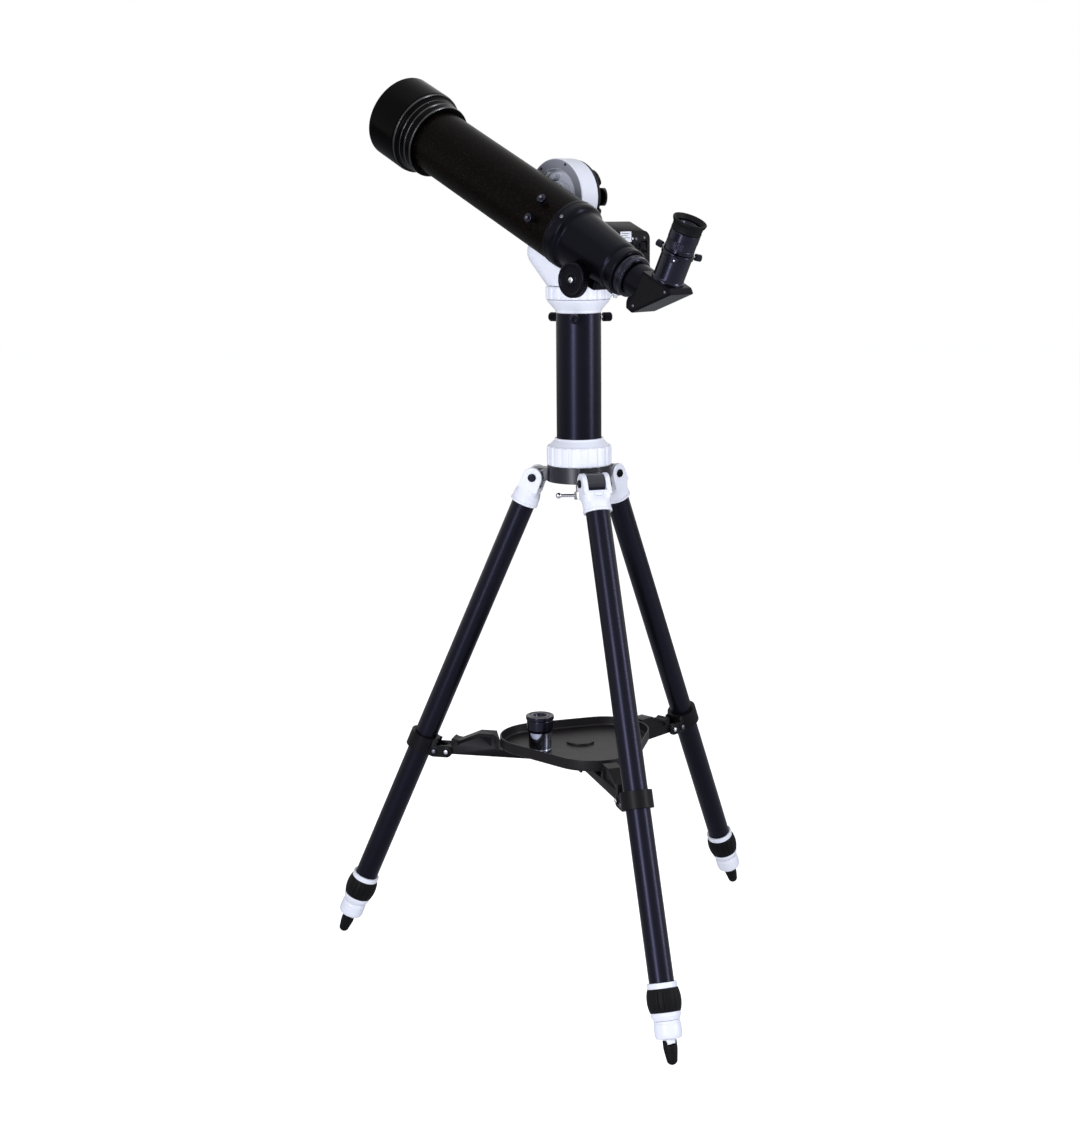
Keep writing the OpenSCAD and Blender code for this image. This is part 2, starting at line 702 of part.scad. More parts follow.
module accessory_tray() color(black_plastic) {
    difference() {
        translate([0, 0, tray_z]) linear_extrude(tray_depth) tray_outline(0);
        translate([0, 0, tray_floor]) linear_extrude(tray_depth) tray_outline(tray_wall);
    }
    // raised arc on the floor
    rib_r = 20;
    rib_w = 2.6;
    tripod_axis() translate([0, rib_r, tray_floor - 0.2]) intersection() {
        pipe_z(rib_r + rib_w/2, rib_r - rib_w/2, 0, 3);
        rotate([0, 0, 225 + 45]) linear_extrude(4) polygon([[0, 0], [40, -40], [40, 40]]);
    }
}

module spare_eyepiece() tripod_axis() rotate([0, 0, spare_turn - 90])
    translate([spare_r, 0, tray_floor + 0.2]) {
        shoulder = spare_barrel_len;
        top = spare_barrel_len + spare_head_len;
        head_r = spare_head_d/2;
        color(black_plastic) difference() {
            lathe([[0, 0], [barrel_r - 0.6, 0], [barrel_r, 0.6], [barrel_r, shoulder], [head_r - 2, shoulder],
                   [head_r - 2, shoulder + 7], [head_r, shoulder + 9], [head_r, top - 2], [head_r - 2, top],
                   [9, top], [7, top - 5], [0, top - 5]]);
            rod_z(barrel_r - 2, -1, shoulder - 8);
        }
    }

// ---------- mount ----------

module mount_base() color(white_plastic) tripod_axis() difference() {
    union() {
        rod_z(pier_bore_r - 0.15, pier_top - spigot_len, pier_top + 1);
        lathe([[0, pier_top + 0.05], [pier_r - 0.5, pier_top + 0.05], [pier_r, pier_top + 1],
               [pier_r + 1, pier_top + 4], [fluted_ring_d/2 - 3, pier_top + base_cone_h - 3],
               [fluted_ring_d/2 - 1, pier_top + base_cone_h], [0, pier_top + base_cone_h]]);
        rod_z(stub_r, pier_top + base_cone_h - 1, azimuth_ring_z + azimuth_ring_h);
    }
    rod_z(azimuth_shaft_r + run_gap, pier_top - spigot_len - 1, turntable_z + 1);
}

module azimuth_ring() color(white_plastic) tripod_axis()
    fluted_ring(azimuth_ring_z, azimuth_ring_z + azimuth_ring_h, stub_r + run_gap);

module mount_chassis() color(black_plastic) mount_frame() {
    difference() {
        union() {
            rod_z(fluted_ring_d/2 - 8, turntable_z, turntable_z + turntable_h);
            rod_z(azimuth_shaft_r, pier_top + 6, turntable_z + 1);
            block([-upright_half_w, housing_back, turntable_z + 1],
                  [upright_half_w, housing_side - housing_rim, altitude_z - housing_neck_r + 6]);
            translate([0, 0, altitude_z]) {
                rod_y(housing_neck_r, housing_back, housing_side);
                rod_y(housing_d/2, housing_side - housing_rim, housing_side);
            }
        }
        translate([0, 0, altitude_z]) {
            rod_y(housing_neck_r - 3, housing_back + housing_wall, housing_side + 1);
            rod_y(altitude_shaft_r + run_gap, housing_back - 1, housing_side + 1);
        }
    }
}

// Room that the altitude housing, the drum and both knobs need inside the shells
module altitude_room() translate([0, 0, altitude_z]) {
    rod_y(altitude_knob_r + free_gap, -80, housing_back);
    rod_y(housing_neck_r + free_gap, housing_back - 1, 80);
    rod_y(housing_d/2 + 0.2, housing_side - housing_rim - 0.2, 80);
    block([-upright_half_w - 0.3, housing_back - 0.3, -housing_d], [upright_half_w + 0.3, housing_side, 0]);
    rod_y(drum_d/2 + 2*free_gap, housing_side - 0.1, 80);
}

// One half of the shells: the solid hull, smaller by "shrink" all round
module front_form(shrink) hull() {
    lift = 43.6;
    corner = 24;
    rod_z(fluted_ring_d/2 - 1.5 - shrink, shell_z + shrink, shell_z + 4, $fn = 64);
    for (side = [-1, 1]) {
        translate([shell_front - corner, side*(shell_half_w - corner), shell_z + lift])
            sphere(corner - shrink, $fn = 32);
        translate([shell_front - corner - 8, side*(shell_half_w - corner), shell_z + shell_top - corner])
            sphere(corner - shrink, $fn = 32);
        for (z = [lift, shell_top - corner])
            translate([shell_split, side*(shell_half_w - corner), shell_z + z]) sphere(corner - shrink, $fn = 32);
    }
}

module rear_form(shrink) hull() {
    corner = 12;
    rod_z(fluted_ring_d/2 - 1.5 - shrink, shell_z + shrink, shell_z + 4, $fn = 64);
    for (side = [-1, 1], z = [shell_z + 8.6 + corner, shell_z + 70 - corner])
        translate([0, side*(shell_half_w - 3 - corner), z])
            rod_x(corner - shrink, -shell_rear + shrink, -shell_rear + 14, $fn = 32);
    for (side = [-1, 1]) translate([0, side*(shell_half_w - 14), shell_z + shell_top - 14])
        rod_x(14 - shrink, -62, 0, $fn = 32);
}

module front_shell() color(white_plastic) mount_frame() difference() {
    front_form(0);
    front_form(shell_wall);
    altitude_room();
    block([-100, -100, shell_z - 1], [shell_split + 0.15, 100, altitude_z + 60]);
    rod_z(fluted_ring_d/2 - 7.8, shell_z - 1, shell_z + 5);
}

module rear_shell() color(black_plastic) mount_frame() difference() {
    rear_form(0);
    rear_form(shell_wall);
    altitude_room();
    block([shell_split - 0.15, -100, shell_z - 1], [100, 100, altitude_z + 60]);
    rod_z(fluted_ring_d/2 - 7.8, shell_z - 1, shell_z + 5);
    // window behind the switch
    translate([-shell_rear - 1, switch_in - panel_w/2, panel_z - switch_low])
        translate([0, -5, -7.5]) cube([shell_wall + 6, 10, 15]);
}

module port_panel() color(black_plastic) mount_frame() {
    t = 2.4;
    translate([-shell_rear - 0.05, 0, panel_z]) rotate([90, 0, -90]) difference() {
        linear_extrude(t) difference() {
            rounded_2d(panel_w, panel_h, 11);
            translate([panel_w/2 - switch_in, -switch_low]) square([8, 13], center = true);
        }
        translate([panel_w/2 - 22, 8.5, t - 1.2]) cylinder(r = 3.4, h = 2, $fn = 40);
        translate([panel_w/2 - 35, 8.5, t - 1.2]) cylinder(r = 3.4, h = 2, $fn = 40);
        translate([panel_w/2 - 26, -9, t - 1.2]) linear_extrude(2) square([11, 9], center = true);
    }
}

module power_switch() color(black_plastic) mount_frame()
    translate([-shell_rear - 0.05, 0, panel_z]) rotate([90, 0, -90])
        translate([panel_w/2 - switch_in, -switch_low, 0.5]) rotate([90, 0, 90]) linear_extrude(7.2, center = true)
            union() {
                polygon([[-5.2, 0], [5.2, 0], [5.2, 1.8], [0, 1.9], [-5.2, 3.4]]);
                circle(1.3, $fn = 32);
            }

module altitude_drum() color(white_plastic) mount_frame() translate([0, 0, altitude_z]) {
    drum_r = drum_d/2;
    boss_r = 20;
    difference() {
        union() {
            lathe_y([[0, drum_back], [drum_r, drum_back], [drum_r, drum_face - 1.5], [drum_r - 1.5, drum_face],
                     [drum_recess_d/2, drum_face], [drum_recess_d/2 - 2, drum_face - drum_recess], [0, drum_face - drum_recess]]);
            rod_y(boss_r, drum_face - drum_recess - 1, drum_face);
            rod_y(altitude_shaft_r, knob_side - altitude_knob_depth + 3, drum_back + 1);
        }
        for (k = [0:5]) rotate([0, 60*k + 15, 0]) translate([drum_recess_d/2 - 8, 0, 0])
            rod_y(3.2, drum_face - drum_recess - 4, drum_face, $fn = 32);
    }
}

module worm_wheel() color("goldenrod") mount_frame() translate([0, 0, altitude_z]) {
    wheel_r = housing_neck_r - 5;
    tooth = 1.2;
    from = housing_back + housing_wall + 3;
    translate([0, from, 0]) rotate([-90, 0, 0]) difference() {
        linear_extrude(9) polygon([for (k = [0:2*worm_wheel_teeth - 1])
            let (a = 180*k/worm_wheel_teeth, r = wheel_r - (k % 2 == 0 ? 0 : tooth)) [r*cos(a), r*sin(a)]]);
        translate([0, 0, -1]) cylinder(r = altitude_shaft_r + 0.02, h = 12);
    }
}

module altitude_knob() color(black_plastic) mount_frame() translate([0, 0, altitude_z]) {
    lobes = 5;
    lobe_r = 11.5;
    lobe_at = altitude_knob_r - lobe_r;
    tip = knob_side - altitude_knob_depth;
    difference() {
        intersection() {
            translate([0, tip, 0]) rotate([-90, 0, 0]) linear_extrude(altitude_knob_depth) {
                circle(18);
                for (k = [0:lobes - 1]) rotate(180 + 360*k/lobes) translate([lobe_at, 0]) circle(lobe_r);
            }
            lathe_y([[0, tip], [24, tip], [26, tip + 1], [altitude_knob_r, knob_side - 3],
                     [altitude_knob_r, knob_side], [0, knob_side]]);
        }
        rod_y(altitude_shaft_r + run_gap, tip + 2.4, knob_side + 1);
    }
}

module saddle() color(black_plastic) tube_frame() {
    jaw = 12;
    sky_side = 2.2;
    top_y = bar_top_y - 1.2;
    slope = tan(16);
    gap = 0.12;
    half_w = dovetail_half_w + jaw;
    rotate([0, 90, 0]) difference() {
        linear_extrude(saddle_len, center = true) difference() {
            polygon([[-dovetail_half_w + 2, saddle_y], [half_w, saddle_y], [half_w, top_y - 2],
                     [half_w - 2, top_y], [-dovetail_half_w - 3.4, top_y],
                     [-dovetail_half_w - 5, top_y - 1], [-dovetail_half_w - sky_side, bar_y]]);
            polygon([[-dovetail_half_w - gap, bar_y - gap], [dovetail_half_w + gap, bar_y - gap],
                     [dovetail_half_w + gap - slope*20, bar_y - gap + 20],
                     [-dovetail_half_w - gap + slope*20, bar_y - gap + 20]]);
        }
        translate([dovetail_half_w - 6, bar_y + 5, 0]) rod_x(4 + run_gap, 0, 20);
    }
}

module saddle_knob() color(black_plastic) tube_frame() rotate([0, 90, 0])
    translate([0, bar_y + 5, 0]) rotate([0, 90, 0]) {
        jaw_side = dovetail_half_w + 12;
        rod_z(4, dovetail_half_w - tan(16) + 0.1, jaw_side + 5);
        difference() {
            rod_z(10, jaw_side + 4, jaw_side + 18);
            for (k = [0:6]) rotate([0, 0, 360*k/7]) translate([12.4, 0, jaw_side + 3])
                cylinder(r = 4.4, h = 16, $fn = 32);
        }
    }

// ---------- optical tube ----------

module main_tube() color(black_paint) tube_frame() difference() {
    rod_x(tube_r, -tube_rear, tube_front);
    rod_x(tube_r - tube_wall, -tube_rear - 1, tube_front + 1);
}

module dew_cap() color(black_plastic) tube_frame() {
    r = dew_cap_d/2;
    collar_r = tube_r + 7;
    rear = tube_front - dew_collar;
    cell_front = tube_front + cell_len;
    body_rear = tube_front + 17;
    inner_r = r - dew_cap_wall;
    seat_r = cell_r + 0.2;
    lathe_x(concat(
        [[tube_r + 0.05, rear], [collar_r - 1.4, rear], [collar_r - 0.2, rear + 0.8], [collar_r, rear + 2.4]],
        [[collar_r + 0.5, rear + 14], [collar_r + 2.2, rear + 20]],
        arc(r - 6, body_rear, 6, -60, 0, 5),
        [[r, dew_cap_front - 1], [r - 0.8, dew_cap_front], [inner_r, dew_cap_front]],
        [[inner_r, cell_front + 3], [seat_r, cell_front + 0.4], [seat_r, tube_front + 0.2],
         [tube_r + 0.05, tube_front + 0.2]]
    ));
}

module lens_cell() color(black_plastic) tube_frame() {
    outer_r = cell_r;
    lens_r = aperture/2 + 0.6;
    lathe_x([[aperture/2 - 0.8, tube_front + 0.4], [outer_r, tube_front + 0.4], [outer_r, tube_front + cell_len - 1],
             [outer_r - 1, tube_front + cell_len], [aperture/2 - 0.4, tube_front + cell_len],
             [aperture/2 - 0.4, lens_at + 7.2], [lens_r, lens_at + 7.2], [lens_r, lens_at - 6],
             [aperture/2 - 0.8, lens_at - 6]]);
}

module objective_lens() color(lens_tint) tube_frame() {
    edge_r = aperture/2 + 0.5;
    crown = 3;
    steps = 8;
    lathe_x(concat(
        [[0, lens_at - 4], [edge_r, lens_at - 5.8], [edge_r, lens_at + 4]],
        [for (k = [1:steps]) let (u = 1 - k/steps) [edge_r*u, lens_at + 4 + crown*(1 - u*u)]]
    ));
}

module dovetail_bar() color(black_paint) tube_frame() difference() {
    rotate([0, 90, 0]) linear_extrude(dovetail_len, center = true)
        polygon([[-dovetail_half_w, bar_y], [dovetail_half_w, bar_y], [bar_top_half_w, bar_top_y],
                 [bar_top_half_w, -tube_r + 3], [-bar_top_half_w, -tube_r + 3], [-bar_top_half_w, bar_top_y]]);
    rod_x(tube_r + 0.05, -dovetail_len, dovetail_len);
}

module finder_studs() color(steel) tube_frame() for (side = [-1, 1])
    rotate([finder_turn + side*finder_spread/2, 0, 0]) translate([-finder_at, 0, 0]) {
        stud_r = finder_stud_d/2;
        base = tube_r + 0.05;
        rod_y(stud_r, base, base + 12);
        lathe_y([[stud_r, base], [4.6, base], [4.6, base + 1.6], [stud_r, base + 1.6]]);
        translate([0, base + 2.6, 0]) rotate([-90, 0, 0]) difference() {
            cylinder(r = 5.6, h = 6.4);
            translate([0, 0, -1]) cylinder(r = stud_r + 0.02, h = 9);
            for (k = [0:13]) rotate([0, 0, 360*k/14]) translate([5.95, 0, -1]) cylinder(r = 0.9, h = 9, $fn = 16);
        }
    }

module focuser_body() color(black_plastic) tube_frame() {
    flange_r = tube_r + 1.1;
    front_r = focuser_front_d/2;
    rear_r = focuser_rear_d/2;
    cavity_r = front_r - 4;
    bore_r = draw_r + run_gap;
    ring_from = focuser_end - 13;
    throat = focuser_flange_end + 10;
    pinion_w = 19;
    pinion_room = pinion_d/2 + 0.5;
    difference() {
        union() {
            lathe_x(concat(
                [[cavity_r, -tube_rear + 14], [tube_r - tube_wall - 0.05, -tube_rear + 14],
                 [tube_r - tube_wall - 0.05, -tube_rear - 0.1], [flange_r, -tube_rear - 0.1],
                 [flange_r, -focuser_flange_end + 3]],
                arc(flange_r - 5, -focuser_flange_end + 3, 5, 0, -75, 5),
                [[front_r + 0.6, -focuser_flange_end - 4.6], [front_r, -focuser_flange_end - 6],
                 [rear_r + 1.2, -ring_from + 4], [rear_r, -ring_from + 1], [rear_r - 1, -ring_from],
                 [rear_r - 1, -ring_from - 1.6], [rear_r, -ring_from - 2.2], [rear_r, -focuser_end + 2],
                 [rear_r - 2, -focuser_end], [bore_r, -focuser_end], [bore_r, -throat], [cavity_r, -throat + 6]]
            ));
            // pinion housing
            difference() {
                block([-pinion_at - 17, -pinion_w, -pinion_drop - 7], [-pinion_at + 17, pinion_w, -pinion_drop + 8]);
                rod_x(bore_r, -focuser_end, -throat);
            }
        }
        translate([-pinion_at, 0, -pinion_drop]) {
            rod_y(pinion_shaft_d/2 + run_gap, -40, 40);
            rod_y(pinion_room, -10, 10);
        }
        translate([-focuser_end + 8, 0, 0]) rod_z(1.6 + run_gap, -rear_r - 2, -draw_r + 2);
    }
}

module focus_knobs() color(black_plastic) tube_frame() translate([-pinion_at, 0, -pinion_drop]) {
    knob_r = focus_knob_d/2;
    inner = focus_knob_face - focus_knob_depth;
    rod_y(pinion_shaft_d/2, -inner - 2, inner + 2);
    rod_y(pinion_d/2, -9.6, 9.6);
    for (side = [0, 180]) rotate([0, 0, side])
        lathe_y([[0, inner], [knob_r - 5, inner], [knob_r - 2, inner + 1.5], [knob_r, inner + 4],
                 [knob_r, focus_knob_face - 2], [knob_r - 1.6, focus_knob_face], [knob_r - 4, focus_knob_face],
                 [knob_r - 5, focus_knob_face - 1.2], [6, focus_knob_face - 1.2], [6, focus_knob_face - 0.4],
                 [4.4, focus_knob_face + 0.8], [0, focus_knob_face + 1.2]]);
}

module focus_lock_screw() color(steel) tube_frame() translate([-focuser_end + 8, 0, 0]) rotate([180, 0, 0])
    thumb_screw(draw_r + 0.5, 1.6, focuser_rear_d/2 + 0.6, focuser_rear_d/2 + 5.6, 3.6, 12);

module draw_tube() color(black_plastic) tube_frame() {
    seat_from = focuser_end + free_gap;
    collar_r = draw_r + 1.6;
    rim = 2;
    lathe_x([[draw_r - rim, -draw_inner_end], [draw_r, -draw_inner_end], [draw_r, -seat_from],
             [collar_r, -seat_from], [collar_r, -seat_from - 4], [collar_r - 0.8, -seat_from - 4.6],
             [collar_r - 0.8, -seat_from - 5.6], [collar_r, -seat_from - 6.2], [collar_r, -draw_end + 2],
             [collar_r - 2, -draw_end], [barrel_r + run_gap, -draw_end], [barrel_r + run_gap, -seat_from - 0.5],
             [draw_r - rim, -seat_from + 4]]);
}

// ---------- star diagonal and eyepiece ----------

module diagonal_frame() tube_frame() translate([-diagonal_s, 0, 0]) children();

module diagonal_housing() color(black_plastic) diagonal_frame() {
    front = diagonal_s - draw_end - 24.4;
    shoulder = diagonal_at - free_gap;
    top = diagonal_top;
    leg = diagonal_leg;
    face = 24.4;
    cut = 6;
    light_r = 13;
    difference() {
        union() {
            rotate([90, 0, 0]) linear_extrude(diagonal_w, center = true) polygon([
                [face, top - 1.5], [face - 1.5, top], [face - leg + cut, top], [face - leg, top - cut*0.8],
                [face - 7, top - leg], [face + 4, top - leg + 1], [face + 7, top - leg + cut + 2],
                [face + 7, top - leg + cut + 8], [face, top - leg + 20]
            ]);
            rod_x(21, face - 1, shoulder);
            rod_x(barrel_r, shoulder - 1, shoulder + 22);
            rod_z(holder_d/2, top - 1, holder_top);
            rod_z(holder_ring_d/2, holder_top - 5.4, holder_top - 0.4);
        }
        rod_x(light_r, -4, shoulder + 30);
        rod_z(light_r, -4, holder_top + 1);
        rod_z(barrel_r + run_gap, holder_top - 30, holder_top + 1);
        // pocket for the mirror
        rotate([0, 45, 0]) block([-23, -diagonal_w/2 + 3, -6], [22, diagonal_w/2 - 3, 1]);
        for (a = screw_turns) rotate([0, 0, a]) translate([0, 0, holder_top - 2.9])
            rod_x(1.6, barrel_r - 1, holder_ring_d);
    }
}

module diagonal_mirror() color(steel) diagonal_frame() rotate([0, 45, 0])
    block([-22.6, -diagonal_w/2 + 3.3, -5.6], [21.6, diagonal_w/2 - 3.3, -1.2]);

module eyepiece_screws() color(black_plastic) diagonal_frame() for (a = screw_turns)
    rotate([0, 0, a]) translate([0, 0, holder_top - 2.9]) rotate([0, 90, 0])
        thumb_screw(barrel_r + 0.3, 1.5, holder_ring_d/2 + 3.6, holder_ring_d/2 + 10.6, 4.2, 12);

module eyepiece() color(black_plastic) diagonal_frame() {
    r = eyepiece_d/2;
    from = holder_top + 0.2;
    top = from + eyepiece_len;
    difference() {
        union() {
            rod_z(barrel_r, holder_top - 28, from + 1);
            lathe([[0, from], [r - 0.8, from], [r, from + 0.8], [r, top - 0.6], [r - 1.4, top], [0, top]]);
            rod_z(r - 2.6, top - 1, top + 8);
        }
        rod_z(barrel_r - 1.6, holder_top - 29, from + 4);
        translate([0, 0, top + 4]) cylinder(r1 = 8, r2 = 11, h = 5);
    }
}

module eyecup() color(rubber) diagonal_frame() {
    from = holder_top + 0.2 + eyepiece_len + 0.05;
    neck_r = eyepiece_d/2;
    rim_r = eyecup_d/2;
    top = from + eyecup_len;
    lathe([[neck_r - 2.5, from], [neck_r, from], [neck_r + 0.3, from + 2], [neck_r - 0.3, from + 3],
           [neck_r, from + 9], [rim_r - 0.6, top - 3], [rim_r, top - 0.8], [rim_r - 0.6, top],
           [rim_r - 2.4, top], [neck_r - 3.4, from + 9], [neck_r - 2.5, from + 8]]);
}

// ---------- the nodes ----------

tripod_hub();
hinge_pins();
pier_tube();
mount_base();
pier_clamp_screws();
pier_ring();
centre_bolt();
leg_socket(1);  // leg_socket_1
leg_socket(2);  // leg_socket_2
leg_socket(3);  // leg_socket_3
leg_tube(1);  // leg_tube_1
leg_tube(2);  // leg_tube_2
leg_tube(3);  // leg_tube_3
lock_nut(1);  // lock_nut_1
lock_nut(2);  // lock_nut_2
lock_nut(3);  // lock_nut_3
lock_grip(1);  // lock_grip_1
lock_grip(2);  // lock_grip_2
lock_grip(3);  // lock_grip_3
inner_leg(1);  // inner_leg_1
inner_leg(2);  // inner_leg_2
inner_leg(3);  // inner_leg_3
rubber_foot(1);  // rubber_foot_1
rubber_foot(2);  // rubber_foot_2
rubber_foot(3);  // rubber_foot_3
spreader_collar(1);  // spreader_collar_1
spreader_collar(2);  // spreader_collar_2
spreader_collar(3);  // spreader_collar_3
spreader_arm(1);  // spreader_arm_1
spreader_arm(2);  // spreader_arm_2
spreader_arm(3);  // spreader_arm_3
spreader_hub();
accessory_tray();
spare_eyepiece();
azimuth_ring();
mount_chassis();
front_shell();
rear_shell();
port_panel();
power_switch();
altitude_drum();
worm_wheel();
altitude_knob();
saddle();
saddle_knob();
main_tube();
dew_cap();
lens_cell();
objective_lens();
dovetail_bar();
finder_studs();
focuser_body();
focus_knobs();
focus_lock_screw();
draw_tube();
diagonal_housing();
diagonal_mirror();
eyepiece_screws();
eyepiece();
eyecup();
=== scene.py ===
"""A short refractor telescope on a motorised arm, a pier and a folding tripod.

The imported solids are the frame. The classes below dress each sub-assembly: they
build its surfaces with numpy, give every solid a finish and hang each piece on
the body that carries it. Lengths are millimetres until a mesh is made.
"""

import json
import logging
import math
from collections.abc import Callable
from dataclasses import dataclass

import bmesh
import bpy
import numpy as np
from mathutils import Matrix, Vector

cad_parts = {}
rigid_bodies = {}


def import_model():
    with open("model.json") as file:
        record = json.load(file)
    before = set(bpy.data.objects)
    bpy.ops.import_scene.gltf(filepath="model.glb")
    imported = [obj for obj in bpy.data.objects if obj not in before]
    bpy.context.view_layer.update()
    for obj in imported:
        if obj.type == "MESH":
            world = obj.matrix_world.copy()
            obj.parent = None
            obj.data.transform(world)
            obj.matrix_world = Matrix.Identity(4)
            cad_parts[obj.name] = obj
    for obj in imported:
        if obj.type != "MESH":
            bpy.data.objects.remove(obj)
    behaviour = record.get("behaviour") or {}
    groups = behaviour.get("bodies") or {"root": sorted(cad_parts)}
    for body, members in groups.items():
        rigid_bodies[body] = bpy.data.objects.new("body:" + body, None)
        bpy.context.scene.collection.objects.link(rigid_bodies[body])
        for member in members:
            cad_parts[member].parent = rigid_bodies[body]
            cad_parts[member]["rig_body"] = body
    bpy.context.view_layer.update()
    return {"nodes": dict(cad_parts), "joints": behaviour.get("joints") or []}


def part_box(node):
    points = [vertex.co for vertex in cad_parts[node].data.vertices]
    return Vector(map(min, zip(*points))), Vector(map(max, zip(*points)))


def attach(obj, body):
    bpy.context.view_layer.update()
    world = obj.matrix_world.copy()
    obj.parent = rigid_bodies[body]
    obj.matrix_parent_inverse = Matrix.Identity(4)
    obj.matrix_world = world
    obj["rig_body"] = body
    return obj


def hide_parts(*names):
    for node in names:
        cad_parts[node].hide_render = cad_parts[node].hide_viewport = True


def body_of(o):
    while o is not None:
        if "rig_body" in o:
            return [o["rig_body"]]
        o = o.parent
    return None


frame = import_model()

log = logging.getLogger("telescope")
MM = 0.001
JOINTS = {joint["name"]: joint for joint in frame["joints"]}


# ---------------------------------------------------------------- places


@dataclass(frozen=True)
class Place:
    """An origin in millimetres and three unit directions in the row frame."""

    origin: np.ndarray
    x: np.ndarray
    y: np.ndarray
    z: np.ndarray

    @staticmethod
    def from_axes(origin: np.ndarray, y: np.ndarray, z: np.ndarray) -> "Place":
        """Makes a place from its origin, its Y direction and its Z direction."""
        y, z = np.asarray(y, float), np.asarray(z, float)
        return Place(np.asarray(origin, float), np.cross(y, z), y, z)

    def row(self, points: np.ndarray) -> np.ndarray:
        """Turns local millimetres (x, y, z), the last axis, into metres in the row frame."""
        turned = points[..., :1] * self.x + points[..., 1:2] * self.y + points[..., 2:3] * self.z
        return (turned + self.origin) * MM

    def moved(self, x: float = 0, y: float = 0, z: float = 0) -> "Place":
        """The same directions about a shifted origin."""
        origin = self.origin + x * self.x + y * self.y + z * self.z
        return Place(origin, self.x, self.y, self.z)

    def turned(self, angle: float, about: str = "z") -> "Place":
        """The place turned about its own "x", "y" or "z", in degrees by the right-hand rule."""
        axis = Vector(getattr(self, about))
        turn = np.array(Matrix.Rotation(math.radians(angle), 3, axis))
        return Place(self.origin, turn @ self.x, turn @ self.y, turn @ self.z)

    def swapped(self) -> "Place":
        """Z takes the place of X, so that a turned profile runs along the old X."""
        return Place(self.origin, self.y, self.z, self.x)

    def across(self, side: int = 1) -> "Place":
        """A turned profile runs along the old Y, or against it when the side is -1."""
        return Place(self.origin, self.z, side * self.x, side * self.y)


def joint_point(name: str) -> np.ndarray:
    """The joint's position in millimetres."""
    return np.array(JOINTS[name]["pos_m"], float) / MM


def joint_axis(name: str) -> np.ndarray:
    """The joint's unit axis."""
    return np.array(JOINTS[name]["axis"], float)


UP = np.array([0.0, 0.0, 1.0])
AXIS = joint_point("azimuth") * [1, 1, 0]


def leg_place(i: int) -> Place:
    """Origin on the hinge pin, Z down the leg, X towards the tripod's inside."""
    return Place.from_axes(
        joint_point(f"leg_fold_{i}"), joint_axis(f"leg_fold_{i}"), joint_axis(f"leg_extend_{i}")
    )


def radial_place(i: int) -> Place:
    """Origin on the floor at the tripod's axis, X outwards over the leg, Z up."""
    return Place.from_axes(AXIS, joint_axis(f"leg_fold_{i}"), UP)


ALTITUDE = joint_point("altitude")
SIDE = -joint_axis("altitude")
TUBE_AXIS = joint_axis("tube_slide")
PIER = Place(AXIS, np.array([1.0, 0, 0]), np.array([0, 1.0, 0]), UP)
MOUNT = Place.from_axes(ALTITUDE, SIDE, UP)


def tube_place() -> Place:
    """Origin level with the altitude axis on the tube's centre line, X to the sky."""
    low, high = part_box("main_tube")
    middle = (np.array(low) + np.array(high)) / 2 / MM
    along = (middle - ALTITUDE) @ TUBE_AXIS
    origin = middle - along * TUBE_AXIS
    return Place(origin, TUBE_AXIS, SIDE, np.cross(TUBE_AXIS, SIDE))


TUBE = tube_place()


# ---------------------------------------------------------------- finishes


def linear(code: str) -> tuple[float, float, float, float]:
    """Turns an sRGB colour "#rrggbb" into linear red, green and blue, with an alpha of 1."""
    values = np.array([int(code[k : k + 2], 16) for k in (1, 3, 5)]) / 255
    flat = np.where(values <= 0.04045, values / 12.92, ((values + 0.055) / 1.055) ** 2.4)
    return (*flat.tolist(), 1.0)


def add_node(tree: bpy.types.NodeTree, kind: str, links: dict | None = None, **settings: object):
    """Adds a node. Its links are values or output sockets, by input name or number."""
    made = tree.nodes.new(kind)
    for key, value in settings.items():
        setattr(made, key, value)
    for key, value in (links or {}).items():
        if isinstance(value, bpy.types.NodeSocket):
            tree.links.new(value, made.inputs[key])
        else:
            made.inputs[key].default_value = value
    return made


def mixed_colour(tree: bpy.types.NodeTree, share, one, other) -> bpy.types.NodeSocket:
    """Mixes two colours by a share from 0 to 1."""
    return add_node(tree, "ShaderNodeMix", {0: share, 6: one, 7: other}, data_type="RGBA").outputs[2]


